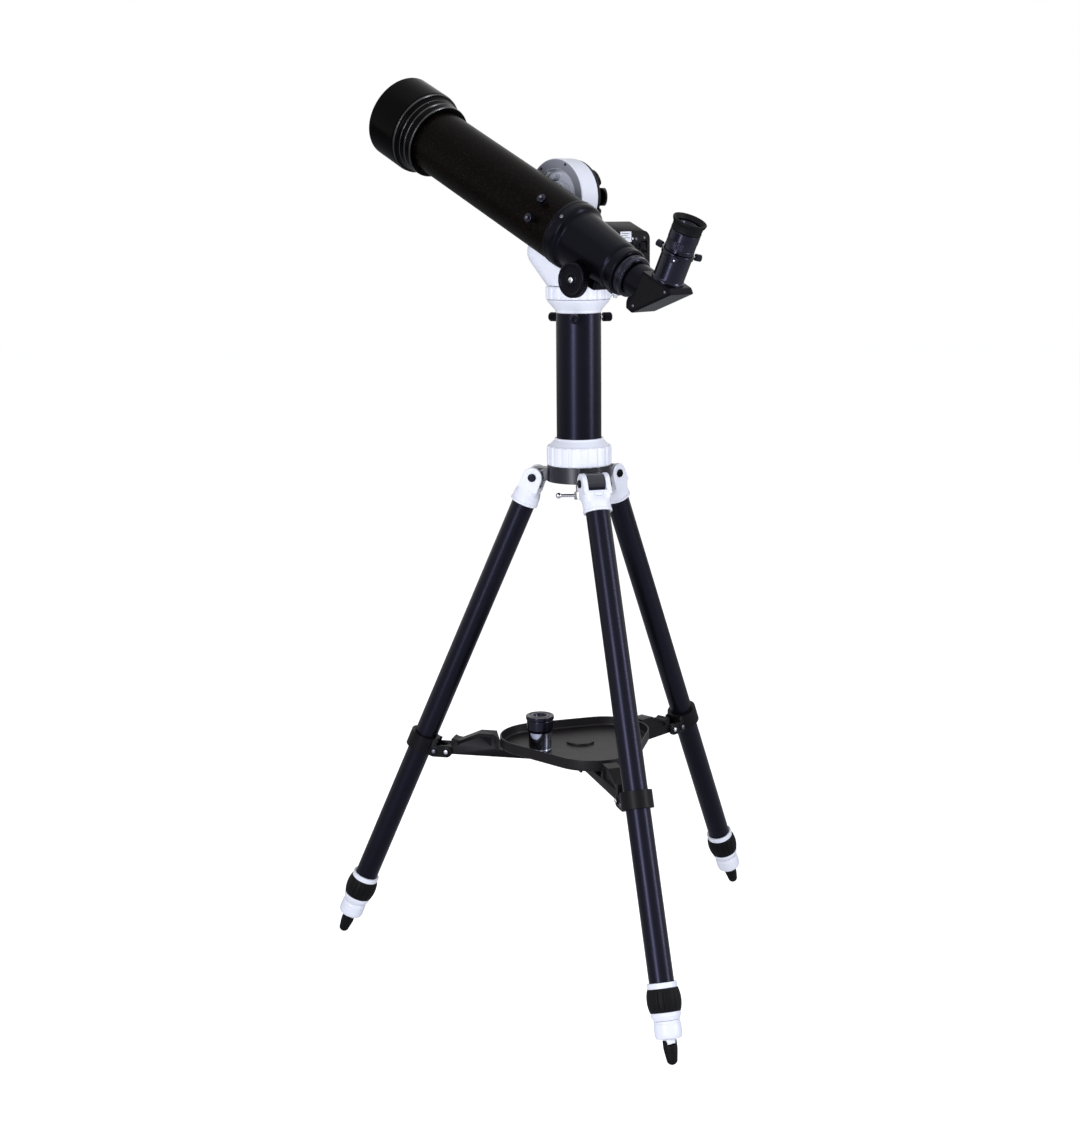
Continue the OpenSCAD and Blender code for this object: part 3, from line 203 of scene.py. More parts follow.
@dataclass(frozen=True)
class Finish:
    """What a surface is made of and how it was made.

    Mottle is a slow change of colour and roughness, grain a fine relief. Their
    scales are real sizes in millimetres.
    """

    name: str
    colour: str
    second: str
    roughness: float
    spread: float = 0.06
    metallic: float = 0.0
    specular: float = 0.5
    mottle_mm: float = 40.0
    grain_mm: float = 0.8
    grain_depth: float = 0.02
    edge_mm: float = 0.5
    gloss: str = "#ffffff"

    def build(self) -> bpy.types.Material:
        """Makes the node material, once for each finish."""
        found = bpy.data.materials.get(self.name)
        if found:
            return found
        material = bpy.data.materials.new(self.name)
        material.use_nodes = True
        tree = material.node_tree
        tree.nodes.clear()
        where = add_node(tree, "ShaderNodeTexCoord").outputs["Object"]
        shader = add_node(tree, "ShaderNodeBsdfPrincipled", self.sockets(tree, where))
        add_node(tree, "ShaderNodeOutputMaterial", {"Surface": shader.outputs[0]})
        material.diffuse_color = linear(self.colour)
        return material

    def sockets(self, tree: bpy.types.NodeTree, where) -> dict:
        """What goes into the shader."""
        slow = add_node(
            tree, "ShaderNodeTexNoise", {"Vector": where, "Scale": 1000 / self.mottle_mm, "Detail": 4.0}
        ).outputs["Fac"]
        colour = mixed_colour(tree, slow, linear(self.colour), linear(self.second))
        low, high = self.roughness - self.spread, self.roughness + self.spread
        rough = add_node(tree, "ShaderNodeMapRange", {"Value": slow, "To Min": low, "To Max": high})
        return {
            "Base Color": self.detail(tree, where, colour),
            "Roughness": rough.outputs["Result"],
            "Metallic": self.metallic,
            "Specular IOR Level": self.specular,
            "Specular Tint": linear(self.gloss),
            "Normal": self.relief(tree, where),
        }

    def detail(self, tree: bpy.types.NodeTree, where, colour):
        """Changes the colour; a plain finish leaves it."""
        return colour

    def relief(self, tree: bpy.types.NodeTree, where) -> bpy.types.NodeSocket:
        """Softened edges and a fine grain, as one normal."""
        soft = add_node(tree, "ShaderNodeBevel", {"Radius": self.edge_mm * MM}, samples=4).outputs[0]
        grain = add_node(
            tree, "ShaderNodeTexNoise", {"Vector": where, "Scale": 1000 / self.grain_mm, "Detail": 2.0}
        ).outputs["Fac"]
        return add_node(
            tree,
            "ShaderNodeBump",
            {"Height": grain, "Strength": 1.0, "Distance": self.grain_depth * MM, "Normal": soft},
        ).outputs[0]


@dataclass(frozen=True)
class FlakePaint(Finish):
    """Sprayed enamel with a fine metallic flake, seen as faint warm specks."""

    flake: str = "#3a2c24"
    flake_mm: float = 0.9

    def detail(self, tree: bpy.types.NodeTree, where, colour):
        """Lights a few cells of a fine cell pattern."""
        cells = add_node(
            tree, "ShaderNodeTexVoronoi", {"Vector": where, "Scale": 1000 / self.flake_mm}
        ).outputs["Color"]
        one = add_node(tree, "ShaderNodeSeparateColor", {0: cells}).outputs[0]
        lit = add_node(
            tree, "ShaderNodeMapRange", {"Value": one, "From Min": 0.86, "From Max": 1.0, "To Max": 0.35}
        ).outputs["Result"]
        return mixed_colour(tree, lit, colour, linear(self.flake))


@dataclass(frozen=True)
class Glass(Finish):
    """A coated lens: clear, with a faint colour in its reflection."""

    def sockets(self, tree: bpy.types.NodeTree, where) -> dict:
        """What goes into the shader."""
        slow = add_node(tree, "ShaderNodeTexNoise", {"Vector": where, "Scale": 20.0}).outputs["Fac"]
        return {
            "Base Color": mixed_colour(tree, slow, linear(self.colour), linear(self.second)),
            "Roughness": self.roughness,
            "Transmission Weight": 0.6,
            "IOR": 1.5,
            "Coat Weight": 0.6,
            "Coat Roughness": 0.02,
            "Coat Tint": linear("#8f7fe0"),
        }


# The tint of what smooth black surfaces reflect.
COOL = "#d6d6ff"

# Injection-moulded ABS: a satin skin with a faint orange peel.
WHITE_ABS = Finish(
    "White_ABS", "#e6e8ee", "#e0e3ea", 0.38, 0.05, specular=0.35, grain_mm=2.2, grain_depth=0.012
)
BLACK_ABS = Finish(
    "Black_ABS", "#050507", "#07070a", 0.26, 0.05, specular=0.1, gloss=COOL, grain_mm=1.4, grain_depth=0.02
)
# The dew cap's skin is flatter than the other mouldings', and its ridges are polished.
CAP_ABS = Finish(
    "Black_cap_ABS", "#020202", "#030304", 0.22, 0.04, specular=0.03, grain_mm=1.4, grain_depth=0.015
)
RIDGE = Finish("Polished_ridge_ABS", "#030304", "#050506", 0.2, 0.03, specular=0.6, grain_depth=0.001)
# Moulded with a spark-eroded texture, which kills the shine.
MATTE_ABS = Finish(
    "Textured_black_ABS", "#0a090c", "#0e0d10", 0.42, 0.06, specular=0.1, grain_mm=0.9, grain_depth=0.04
)
# Powder-coated steel tube: even, satin, a fine grain.
TUBE_COAT = Finish(
    "Black_powder_coat", "#08080c", "#0b0b10", 0.3, 0.04,
    specular=0.19, gloss="#cfcfff", grain_mm=0.7, grain_depth=0.015,
)
TUBE_PAINT = FlakePaint(
    "Black_flake_enamel", "#040202", "#060403", 0.32, 0.05, specular=0.03, mottle_mm=60, grain_mm=1.2
)
# Die-cast aluminium under dark blue-grey paint.
CASTING = Finish(
    "Painted_casting", "#15161d", "#1b1c25", 0.3, 0.08, specular=0.5, grain_mm=1.1, grain_depth=0.03
)
CAST_BLACK = Finish(
    "Black_casting", "#0b0b0e", "#0f0f12", 0.44, 0.07, specular=0.12, grain_mm=1.0, grain_depth=0.03
)
ANODISED = Finish(
    "Black_anodised_metal", "#050508", "#07070b", 0.22, 0.04,
    specular=0.34, gloss=COOL, grain_mm=0.5, grain_depth=0.002,
)
RUBBER = Finish(
    "Moulded_rubber", "#0a0a0c", "#0e0e10", 0.55, 0.06, specular=0.09, grain_mm=0.8, grain_depth=0.05
)
BRIGHT = Finish(
    "Nickel_plate", "#d7d8dc", "#c4c6cc", 0.16, 0.05,
    metallic=1.0, grain_mm=0.6, grain_depth=0.005, edge_mm=0.3,
)
BRASS = Finish("Machined_brass", "#c9a45c", "#b98f45", 0.3, 0.05, metallic=1.0)
ZINC = Finish(
    "Black_zinc_screw", "#6d6e76", "#5b5c64", 0.34, 0.05, metallic=1.0, grain_depth=0.005, edge_mm=0.2
)
CHROME = Finish(
    "Dark_chrome", "#b4b8ca", "#a6aabf", 0.12, 0.03, metallic=1.0, grain_depth=0.004, edge_mm=0.3
)
SILVER = Finish(
    "Satin_silver_paint", "#a9abb3", "#9a9ca6", 0.42, 0.06, metallic=0.35, grain_mm=1.0, grain_depth=0.01
)
LABEL = Finish("Printed_label", "#eef0f2", "#e6e8ec", 0.5, 0.04, grain_depth=0.004)
INK = Finish("Black_ink", "#1c1d22", "#24252b", 0.6, 0.05, grain_depth=0.004)
TRAY_ABS = Finish(
    "Tray_ABS", "#110f10", "#161314", 0.42, 0.06, specular=0.16, grain_mm=1.0, grain_depth=0.03
)
MIRROR = Finish("Aluminised_mirror", "#e6e7ea", "#dfe0e4", 0.04, 0.01, metallic=1.0, grain_depth=0.0)
LENS = Glass("Coated_glass", "#c9d6e6", "#bccde2", 0.03)


NODES_OF_FINISH = (
    (WHITE_ABS, "mount_base pier_ring leg_socket lock_nut inner_leg azimuth_ring"),
    (WHITE_ABS, "front_shell altitude_drum"),
    (BLACK_ABS, "hinge_pins pier_clamp_screws power_switch saddle_knob dew_cap focuser_body focus_knobs"),
    (BLACK_ABS, "diagonal_housing"),
    (MATTE_ABS, "spreader_collar spreader_arm spreader_hub accessory_tray rear_shell port_panel"),
    (MATTE_ABS, "altitude_knob lens_cell"),
    (CAST_BLACK, "mount_chassis saddle dovetail_bar"),
    (ANODISED, "spare_eyepiece draw_tube eyepiece_screws eyepiece"),
    (TUBE_COAT, "pier_tube leg_tube"),
    (RUBBER, "lock_grip rubber_foot eyecup"),
    (BRIGHT, "centre_bolt finder_studs focus_lock_screw"),
    (CASTING, "tripod_hub"),
    (TUBE_PAINT, "main_tube"),
    (BRASS, "worm_wheel"),
    (MIRROR, "diagonal_mirror"),
    (LENS, "objective_lens"),
)
NODE_FINISH = {node: finish for finish, nodes in NODES_OF_FINISH for node in nodes.split()}


def finish_of(node: str) -> Finish:
    """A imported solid's own finish, by its name without its leg number."""
    return NODE_FINISH[node.rstrip("123").rstrip("_")]


def dress_solids() -> None:
    """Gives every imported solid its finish."""
    for name, solid in frame["nodes"].items():
        solid.data.materials.clear()
        solid.data.materials.append(finish_of(name).build())


# ---------------------------------------------------------------- surfaces


def rounded(line: list, radius: float, steps: int = 3, closed: bool = False) -> np.ndarray:
    """Rounds the corners of a flat line, which may be closed.

    Each corner P becomes the parabola (1-t)^2 A + 2t(1-t) P + t^2 B in a few steps, where
    A and B lie on its two sides at the radius from P, or at 0.45 of a shorter side.
    """
    p = np.asarray(line, float)
    back, ahead = np.roll(p, 1, 0) - p, np.roll(p, -1, 0) - p
    back_length = np.linalg.norm(back, axis=1, keepdims=True)
    ahead_length = np.linalg.norm(ahead, axis=1, keepdims=True)
    cut = np.minimum(radius, 0.45 * np.minimum(back_length, ahead_length))
    if not closed:
        cut[[0, -1]] = 0
    start, end = p + back / back_length * cut, p + ahead / ahead_length * cut
    t = np.linspace(0, 1, steps + 1)[None, :, None]
    curve = (1 - t) ** 2 * start[:, None] + 2 * t * (1 - t) * p[:, None] + t**2 * end[:, None]
    return curve.reshape(-1, p.shape[1])


def inset(outline: np.ndarray, amount: float) -> np.ndarray:
    """Moves a closed counter-clockwise outline inwards along its normals."""
    ahead = np.roll(outline, -1, 0) - outline
    back = outline - np.roll(outline, 1, 0)
    along = ahead / (np.linalg.norm(ahead, axis=1, keepdims=True) + 1e-12)
    along += back / (np.linalg.norm(back, axis=1, keepdims=True) + 1e-12)
    along /= np.linalg.norm(along, axis=1, keepdims=True) + 1e-12
    return outline + amount * np.stack([-along[:, 1], along[:, 0]], -1)


def circle(radius: float, x: float = 0, y: float = 0, count: int = 48) -> np.ndarray:
    """Counter-clockwise points on a circle."""
    a = np.linspace(0, 2 * np.pi, count, endpoint=False)
    return np.stack([x + radius * np.cos(a), y + radius * np.sin(a)], -1)


def box_outline(width: float, height: float, radius: float, x: float = 0, y: float = 0) -> np.ndarray:
    """A rectangle with round corners about (x, y)."""
    w, h = width / 2, height / 2
    corners = [(x - w, y - h), (x + w, y - h), (x + w, y + h), (x - w, y + h)]
    return rounded(corners, radius, 6, closed=True)


def grid_faces(rows: int, columns: int, wrap_rows: bool, wrap_columns: bool) -> np.ndarray:
    """Corner numbers of the four-sided faces between neighbours on a grid."""
    r = np.arange(rows if wrap_rows else rows - 1)[:, None]
    c = np.arange(columns if wrap_columns else columns - 1)[None, :]
    r2, c2 = (r + 1) % rows, (c + 1) % columns
    corners = [r * columns + c, r2 * columns + c, r2 * columns + c2, r * columns + c2]
    return np.stack([np.broadcast_to(q, (r.size, c.size)) for q in corners], -1).reshape(-1, 4)


def knurl(count: int, depth: float, low: float, high: float, sharp: float = 1.0) -> Callable:
    """Grooves round a head, as a relief for Piece.turn().

    Between two heights r drops by depth (1 - |sin(count a / 2)|)^sharp. Above 1, sharp
    makes the grooves narrow and the lands wide.
    """

    def relief(a: np.ndarray, r: np.ndarray, z: np.ndarray) -> np.ndarray:
        inside = (z > low) & (z < high) & (r > 1)
        return -depth * inside * (1 - np.abs(np.sin(count * a / 2))) ** sharp

    return relief


# How deep below the outer radius a flute reaches.
RIM = 1.7


def flutes(count: int, radius: float, depth: float, outer: float) -> Callable:
    """Round hollows of radius R, as a relief for Piece.turn().

    At the arc distance d from a hollow's middle, r drops by sqrt(R^2 - d^2) - (R - depth),
    but only within RIM of the outer radius.
    """

    def relief(a: np.ndarray, r: np.ndarray, z: np.ndarray) -> np.ndarray:
        step = 2 * np.pi / count
        d = outer * ((a + step / 2) % step - step / 2)
        drop = np.sqrt(np.maximum(radius**2 - d**2, 0)) - (radius - depth)
        return -np.maximum(drop, 0) * (r > outer - RIM)

    return relief


class Piece:
    """One mesh made of grids of points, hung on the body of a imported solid."""

    def __init__(self, name: str) -> None:
        """Starts an empty piece."""
        self.name = name
        self.points: list[np.ndarray] = []
        self.faces: list[list[int]] = []
        self.count = 0

    def grid(self, place: Place, grid: np.ndarray, loop=True, ring=False, caps=False) -> "Piece":
        """Adds a grid of points, rows by columns by three, measured in a place.

        Loop joins the last row to the first and ring the last column to the first. Caps
        close the first and the last column with flat faces.
        """
        rows, columns = grid.shape[:2]
        self.points.append(place.row(grid.reshape(-1, 3)))
        self.faces += (grid_faces(rows, columns, loop, ring) + self.count).tolist()
        if caps:
            first = self.count + np.arange(rows) * columns
            self.faces += [first[::-1].tolist(), (first + columns - 1).tolist()]
        self.count += rows * columns
        return self

    def turn(
        self, place: Place, profile: list, edge=0.6, turns=96, relief: Callable | None = None, closed=False
    ) -> "Piece":
        """Adds a profile of points (r, z) turned about the place's Z.

        At the angle a, (r, z) is (r cos a, r sin a, z). The corners are rounded by the edge
        in a few steps. The relief gives a change of r from the angle, r and z. A closed
        profile ends where it starts.
        """
        line = rounded(profile, edge, closed=closed)
        a = np.linspace(0, 2 * np.pi, turns, endpoint=False)[:, None]
        z = np.broadcast_to(line[None, :, 1], (turns, len(line)))
        r = line[None, :, 0] + (relief(a, line[None, :, 0], z) if relief else 0)
        return self.grid(place, np.stack([r * np.cos(a), r * np.sin(a), z], -1), ring=closed)

    def slab(
        self, place: Place, outline: np.ndarray, low: float, high: float, edge=0.5, steps=3
    ) -> "Piece":
        """Adds a counter-clockwise outline raised along the place's Z from low to high.

        Its edges are quarter rounds: a level is edge (1 - sin a) inside the outline and
        edge (1 - cos a) from the end face, with a from 0 to 90 degrees.
        """
        a = np.linspace(0, np.pi / 2, steps + 1)
        rise, side = edge * (1 - np.cos(a)), edge * (1 - np.sin(a))
        levels = [(low + q, s) for q, s in zip(rise, side)]
        levels += [(high - q, s) for q, s in zip(rise[::-1], side[::-1])]
        rows = [np.column_stack([inset(outline, s), np.full(len(outline), z)]) for z, s in levels]
        return self.grid(place, np.stack(rows, 1), caps=True)

    def put(self, finish: "Finish", node: str, *more: str, replace=True, sharp=38.0) -> bpy.types.Object:
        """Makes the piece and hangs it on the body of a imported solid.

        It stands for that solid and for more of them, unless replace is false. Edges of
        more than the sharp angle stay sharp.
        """
        mesh = bpy.data.meshes.new(self.name)
        mesh.from_pydata(np.concatenate(self.points).tolist(), [], self.faces)
        return hang(cleaned(mesh, sharp), finish, node, (node, *more) if replace else ())


def cleaned(mesh: bpy.types.Mesh, sharp: float = 38.0, merge: float = 2e-6) -> bpy.types.Mesh:
    """Merges doubles, turns faces outwards and shades smooth up to an angle."""
    work = bmesh.new()
    work.from_mesh(mesh)
    bmesh.ops.remove_doubles(work, verts=work.verts, dist=merge)
    bmesh.ops.dissolve_degenerate(work, edges=work.edges, dist=merge / 2)
    bmesh.ops.recalc_face_normals(work, faces=work.faces)
    work.to_mesh(mesh)
    work.free()
    mesh.shade_smooth()
    mesh.set_sharp_from_angle(angle=math.radians(sharp))
    return mesh


def hang(mesh: bpy.types.Mesh, finish: "Finish", node: str, stands_for: tuple = ()) -> bpy.types.Object:
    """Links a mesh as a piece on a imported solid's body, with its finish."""
    piece = bpy.data.objects.new(mesh.name, mesh)
    bpy.context.scene.collection.objects.link(piece)
    mesh.materials.clear()
    mesh.materials.append(finish.build())
    even = piece.modifiers.new("Even_normals", "WEIGHTED_NORMAL")
    even.keep_sharp = True
    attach(piece, body_of(frame["nodes"][node])[0])
    if stands_for:
        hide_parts(*stands_for)
    log.info("%s stands for %s", piece.name, ", ".join(stands_for) or "nothing")
    return piece


def copy_solids(*nodes: str, sharp: float = 30.0) -> None:
    """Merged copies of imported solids, smooth across their facets, in their places and finishes."""
    for node in nodes:
        mesh = frame["nodes"][node].data.copy()
        mesh.name = node + "_skin"
        hang(cleaned(mesh, sharp, 1e-6), finish_of(node), node, (node,))


# ---------------------------------------------------------------- tripod


@dataclass
class Leg:
    """One telescopic leg. Stations are millimetres down the leg from its hinge pin."""

    number: int
    tube_r: float = 15.88
    tube: tuple[float, float] = (16.7, 675.6)
    nut: tuple[float, float] = (643.6, 689.6)
    grip: tuple[float, float] = (650.65, 679.55)
    inner_top: float = 175.6
    boot: tuple[float, float] = (690.0, 712.0)
    tip: float = 743.6

    def build(self) -> None:
        """Makes the leg's pieces from the hinge down."""
        n, place = self.number, leg_place(self.number)
        self.socket(place)
        wall = self.tube_r - 1.4
        line = [(wall, self.tube[0]), (self.tube_r, self.tube[0]), (self.tube_r, self.tube[1])]
        line += [(wall, self.tube[1])]
        Piece(f"Leg_{n}_tube").turn(place, line, 0.3, closed=True).put(TUBE_COAT, f"leg_tube_{n}")
        self.lock(place)
        self.foot(place)
        copy_solids(f"spreader_collar_{n}")
        self.rivets(place)

    def socket(self, place: Place) -> None:
        """The leg's head: two round-topped ears that flow into a sleeve with a lip."""
        a = np.radians(np.linspace(0, 180, 25))
        top = np.column_stack([13.5 * np.cos(a), 13.5 * np.sin(a)])
        outline = np.concatenate([top, [(-13.9, -8), (-14.4, -18), (14.4, -18), (13.9, -8)]])
        head = Piece(f"Leg_{self.number}_socket")
        face = Place(place.origin, place.x, -place.z, place.y)
        for low in (-19.0, 12.5):
            head.slab(face, outline, low, low + 6.5, 1.2)
        a = np.linspace(0, 2 * np.pi, 96, endpoint=False)
        square = np.maximum(np.abs(np.cos(a)) / 14.4, np.abs(np.sin(a)) / 19.0)
        box_r = 1 / np.maximum(square, 1 / 21.5)
        levels = [(12.6, 0.92, 0), (13.5, 0.98, 0), (15, 1, 0), (18, 1, 0.12), (21, 1, 0.4), (24, 1, 0.72)]
        levels += [(27, 1, 0.93), (30, 1, 1), (36.2, 1, 1.0), (36.6, 1.043, 1), (39.4, 1.043, 1)]
        levels += [(40, 1.01, 1)]
        rows = [[k * ((1 - t) * box_r + t * 18.5), np.full(96, z)] for z, k, t in levels]
        rows += [[np.full(96, 15.95), np.full(96, z)] for z in (39.9, 16.6)]
        skin = [np.stack([r * np.cos(a), r * np.sin(a), z], -1) for r, z in rows]
        head.grid(place, np.stack(skin, 1), caps=True).put(WHITE_ABS, f"leg_socket_{self.number}")

    def lock(self, place: Place) -> None:
        """The clamping nut: white flange and taper, ribbed rubber grip between them."""
        n, (top, end), (low, high) = self.number, self.nut, self.grip
        line = [(15.96, top), (19.0, top), (19.0, low - 0.1), (18.0, low), (18.0, high), (18.9, high + 0.1)]
        line += [(18.9, high + 4.4), (17.2, end - 1.6), (16.6, end), (14.48, end), (14.48, 676)]
        line += [(15.96, 676)]
        Piece(f"Lock_{n}_nut").turn(place, line, 0.8, closed=True).put(WHITE_ABS, f"lock_nut_{n}")
        t = np.linspace(0, 1, 15)
        swell = 19.3 + 2.5 * np.sin(np.pi * t) ** 0.8
        line = [(18.05, low), *zip(swell, low + t * (high - low)), (18.05, high)]
        ribs = knurl(18, 1.0, low + 3.5, high - 3.5, 5.0)
        Piece(f"Lock_{n}_grip").turn(place, line, 0.4, 216, ribs, closed=True).put(RUBBER, f"lock_grip_{n}")

    def foot(self, place: Place) -> None:
        """The sliding inner tube with its white boot, and the rubber tip with two notches."""
        n, (top, end) = self.number, self.boot
        line = [(0, top - 2), (13.0, top - 2), (13.0, self.inner_top), (14.35, self.inner_top)]
        line += [(14.35, top)]
        line += [(16.6, top), (16.6, top + 2.6), (17.3, top + 3.6), (17.5, top + 9), (17.5, end - 5)]
        line += [(16.4, end - 1), (13.5, end), (8.0, end), (8.0, end + 5.9), (0, end + 5.9)]
        Piece(f"Foot_{n}_boot").turn(place, line, 0.9).put(WHITE_ABS, f"inner_leg_{n}")
        ball = self.tip - 7
        a = np.radians(np.linspace(0, 90, 9))
        line = rounded([(8.1, 714), (8.9, 713), (9.0, 723), (8.4, 728)], 0.6).tolist()
        line = np.array(line + list(zip(7 * np.cos(a), ball + 7 * np.sin(a))))
        turn = np.linspace(0, 2 * np.pi, 96, endpoint=False)[:, None]
        notch = 1 / (1 + np.exp(-(np.abs(np.cos(turn)) - 0.74) * 22))
        z = line[None, :, 1] + notch * 6.5 * np.clip((724 - line[None, :, 1]) / 11, 0, 1)
        r = np.broadcast_to(line[None, :, 0], z.shape)
        skin = np.stack([r * np.cos(turn), r * np.sin(turn), z], -1)
        Piece(f"Foot_{n}_rubber").grid(place, skin).put(RUBBER, f"rubber_foot_{n}")

    def rivets(self, place: Place) -> None:
        """Heads of the clamp screw and of the arm's pivot on both cheeks."""
        n = self.number
        dome = [(0, -0.6), (3.2, -0.6), (3.2, 0.2), (2.2, 0.9), (0, 1.1)]
        bright, dim = Piece(f"Collar_{n}_rivets"), Piece(f"Collar_{n}_screws")
        for piece, x, z in ((bright, 38.8, 412.6), (dim, 22.3, 419.8)):
            for side in (1, -1):
                at = place.moved(x=x, y=side * 15.8, z=z)
                piece.turn(at.across(side), dome, 0.4, 32)
        bright.put(BRIGHT, f"spreader_collar_{n}", replace=False)
        dim.put(ZINC, f"spreader_collar_{n}", replace=False)


@dataclass
class Tripod:
    """Three legs, their hub, the spreader and the tray. Heights are above the floor."""

    tray_z: float = 302.77
    tray_depth: float = 15.5
    corner_at: float = 51.0
    corner_r: float = 62.5
    wall: float = 2.2
    spare_at: float = 59.0
    spare_turn: float = -162.0

    def build(self) -> None:
        """Makes the tripod."""
        for number in (1, 2, 3):
            Leg(number).build()
            copy_solids(f"spreader_arm_{number}")
        copy_solids("tripod_hub", "hinge_pins", "centre_bolt", "spreader_hub")
        self.tray()
        self.spare_eyepiece()

    def outline(self, inward: float) -> np.ndarray:
        """Outline round three discs: the centre furthest along a normal plus the radius along it."""
        a = np.linspace(0, 2 * np.pi, 288, endpoint=False)
        normal = np.stack([np.cos(a), np.sin(a)], -1)
        centres = np.stack([self.corner_at * radial_place(i).x[:2] for i in (1, 2, 3)])
        furthest = centres[np.argmax(normal @ centres.T, 1)]
        return furthest + (self.corner_r - inward) * normal

    def tray(self) -> None:
        """The tray: a rounded triangle with a thin wall and a raised arc on its floor."""
        low, high = self.tray_z, self.tray_z + self.tray_depth
        floor = low + self.wall
        rows = [(3.0, low), (1.2, low + 0.4), (0.2, low + 1.6), (0, low + 3), (0, high - 0.7)]
        rows += [(0.3, high - 0.1)]
        rows += [(1.0, high), (1.8, high - 0.1), (2.2, high - 0.7), (2.4, floor + 3)]
        rows += [(3.0, floor + 1.2), (4.6, floor)]
        skin = np.stack([np.column_stack([self.outline(s), np.full(288, z)]) for s, z in rows], 1)
        tray = Piece("Tray").grid(PIER, skin, caps=True)
        a = np.radians(np.linspace(205, 335, 40))[None, :]
        section = [(-1.3, -0.4), (1.3, -0.4), (1.2, 2.0), (0.6, 2.8), (-0.6, 2.8), (-1.2, 2.0)]
        section = np.array(section)[:, None]
        r = 20 + section[..., 0]
        z = np.broadcast_to(floor + section[..., 1], (6, 40))
        tray.grid(PIER, np.stack([r * np.cos(a), 20 + r * np.sin(a), z], -1), caps=True)
        tray.put(TRAY_ABS, "accessory_tray")

    def spare_eyepiece(self) -> None:
        """A second eyepiece that stands on the tray on its bright barrel."""
        place = PIER.turned(self.spare_turn).moved(x=self.spare_at, z=self.tray_z + self.wall + 0.2)
        barrel = [(13.9, 19), (13.9, 0), (15.3, 0), (15.875, 0.6), (15.875, 3), (15.5, 3.4)]
        barrel += [(15.5, 6), (15.875, 6.4)]
        barrel += [(15.875, 27.2), (0, 27.2), (0, 19)]
        head = [(0, 27), (16.6, 27), (17.0, 28), (18.2, 31), (18.2, 43.4), (17.4, 44.2)]
        head += [(19.35, 45.2), (19.35, 49.2)]
        head += [(18.6, 50), (15.2, 50), (14.8, 49.2), (13.4, 49.2), (13.0, 50), (9.6, 50), (7, 45)]
        head += [(0, 45)]
        piece = Piece("Spare_eyepiece_head").turn(place, head, 0.4, 192, knurl(60, 0.35, 31.5, 43))
        piece.put(ANODISED, "spare_eyepiece")
        Piece("Spare_eyepiece_barrel").turn(place, barrel, 0.3).put(CHROME, "spare_eyepiece", replace=False)
        glass = [(0, 44.8), (7.2, 44.9), (7.0, 45.3), (0, 46.2)]
        Piece("Spare_eyepiece_lens").turn(place, glass, 0.1, 48).put(LENS, "spare_eyepiece", replace=False)


# ---------------------------------------------------------------- pier and mount


@dataclass
class Pier:
    """The pier tube between its locking ring and the mount's base. Heights are above the floor."""

    bottom: float = 699.39
    top: float = 901.29
    ring_r: float = 43.5
    azimuth_z: float = 919.29

    def build(self) -> None:
        """Makes the pier from the ring up."""
        low, top, r, up = self.bottom, self.top, self.ring_r, self.azimuth_z
        line = [(4.9, low), (30, low), (30, top), (27.8, top), (27.8, low + 18), (4.9, low + 18)]
        Piece("Pier_tube").turn(PIER, line, 0.5, 128, closed=True).put(TUBE_COAT, "pier_tube")
        line = [(30.08, low), (r - 1.6, low), (r, low + 1.8), (r, low + 24.6)]
        line += [(r - 1.6, low + 26.4), (r - 3, low + 26.4)]
        line += [(33.2, low + 34), (32.4, low + 36.4), (30.08, low + 36.4)]
        hollows = flutes(20, 4.2, 1.5, r)
        Piece("Pier_ring").turn(PIER, line, 1.0, 400, hollows, closed=True).put(WHITE_ABS, "pier_ring")
        line = [(10.1, top - 32), (27.6, top - 32), (27.6, top + 0.05), (29.6, top + 0.05)]
        line += [(30.3, top + 1.5)]
        line += [(31, top + 4), (40.4, top + 14.6), (42.4, top + 17.6), (30, top + 17.6)]
        line += [(30, up + 17.4), (10.1, up + 17.4)]
        Piece("Mount_base").turn(PIER, line, 1.2, 128, closed=True).put(WHITE_ABS, "mount_base")
        line = [(30.08, up), (r - 1.6, up), (r, up + 1.6), (r, up + 15.8), (r - 1.6, up + 17.4)]
        line += [(30.08, up + 17.4)]
        ring = Piece("Azimuth_ring").turn(PIER, line, 0.8, 400, hollows, closed=True)
        ring.put(WHITE_ABS, "azimuth_ring")
        screws, tips = Piece("Pier_clamp_screws"), Piece("Pier_clamp_screw_ends")
        head = [(2.4, 35), (5.5, 35), (6.1, 35.8), (6.1, 45.6), (5.2, 47), (2.2, 47), (1.9, 46.2)]
        head += [(0, 46.2)]
        for k in range(3):
            at = PIER.turned(120 * k - 98.2).moved(z=top - 6.5)
            screws.turn(at.swapped(), head, 0.4, 192, knurl(16, 0.7, 35.9, 45.8, 1.5))
            tips.turn(at.swapped(), [(0, 27.6), (2.4, 27.6), (2.4, 35.2)], 0.3, 32)
        screws.put(BLACK_ABS, "pier_clamp_screws")
        tips.put(BRIGHT, "pier_clamp_screws", replace=False)


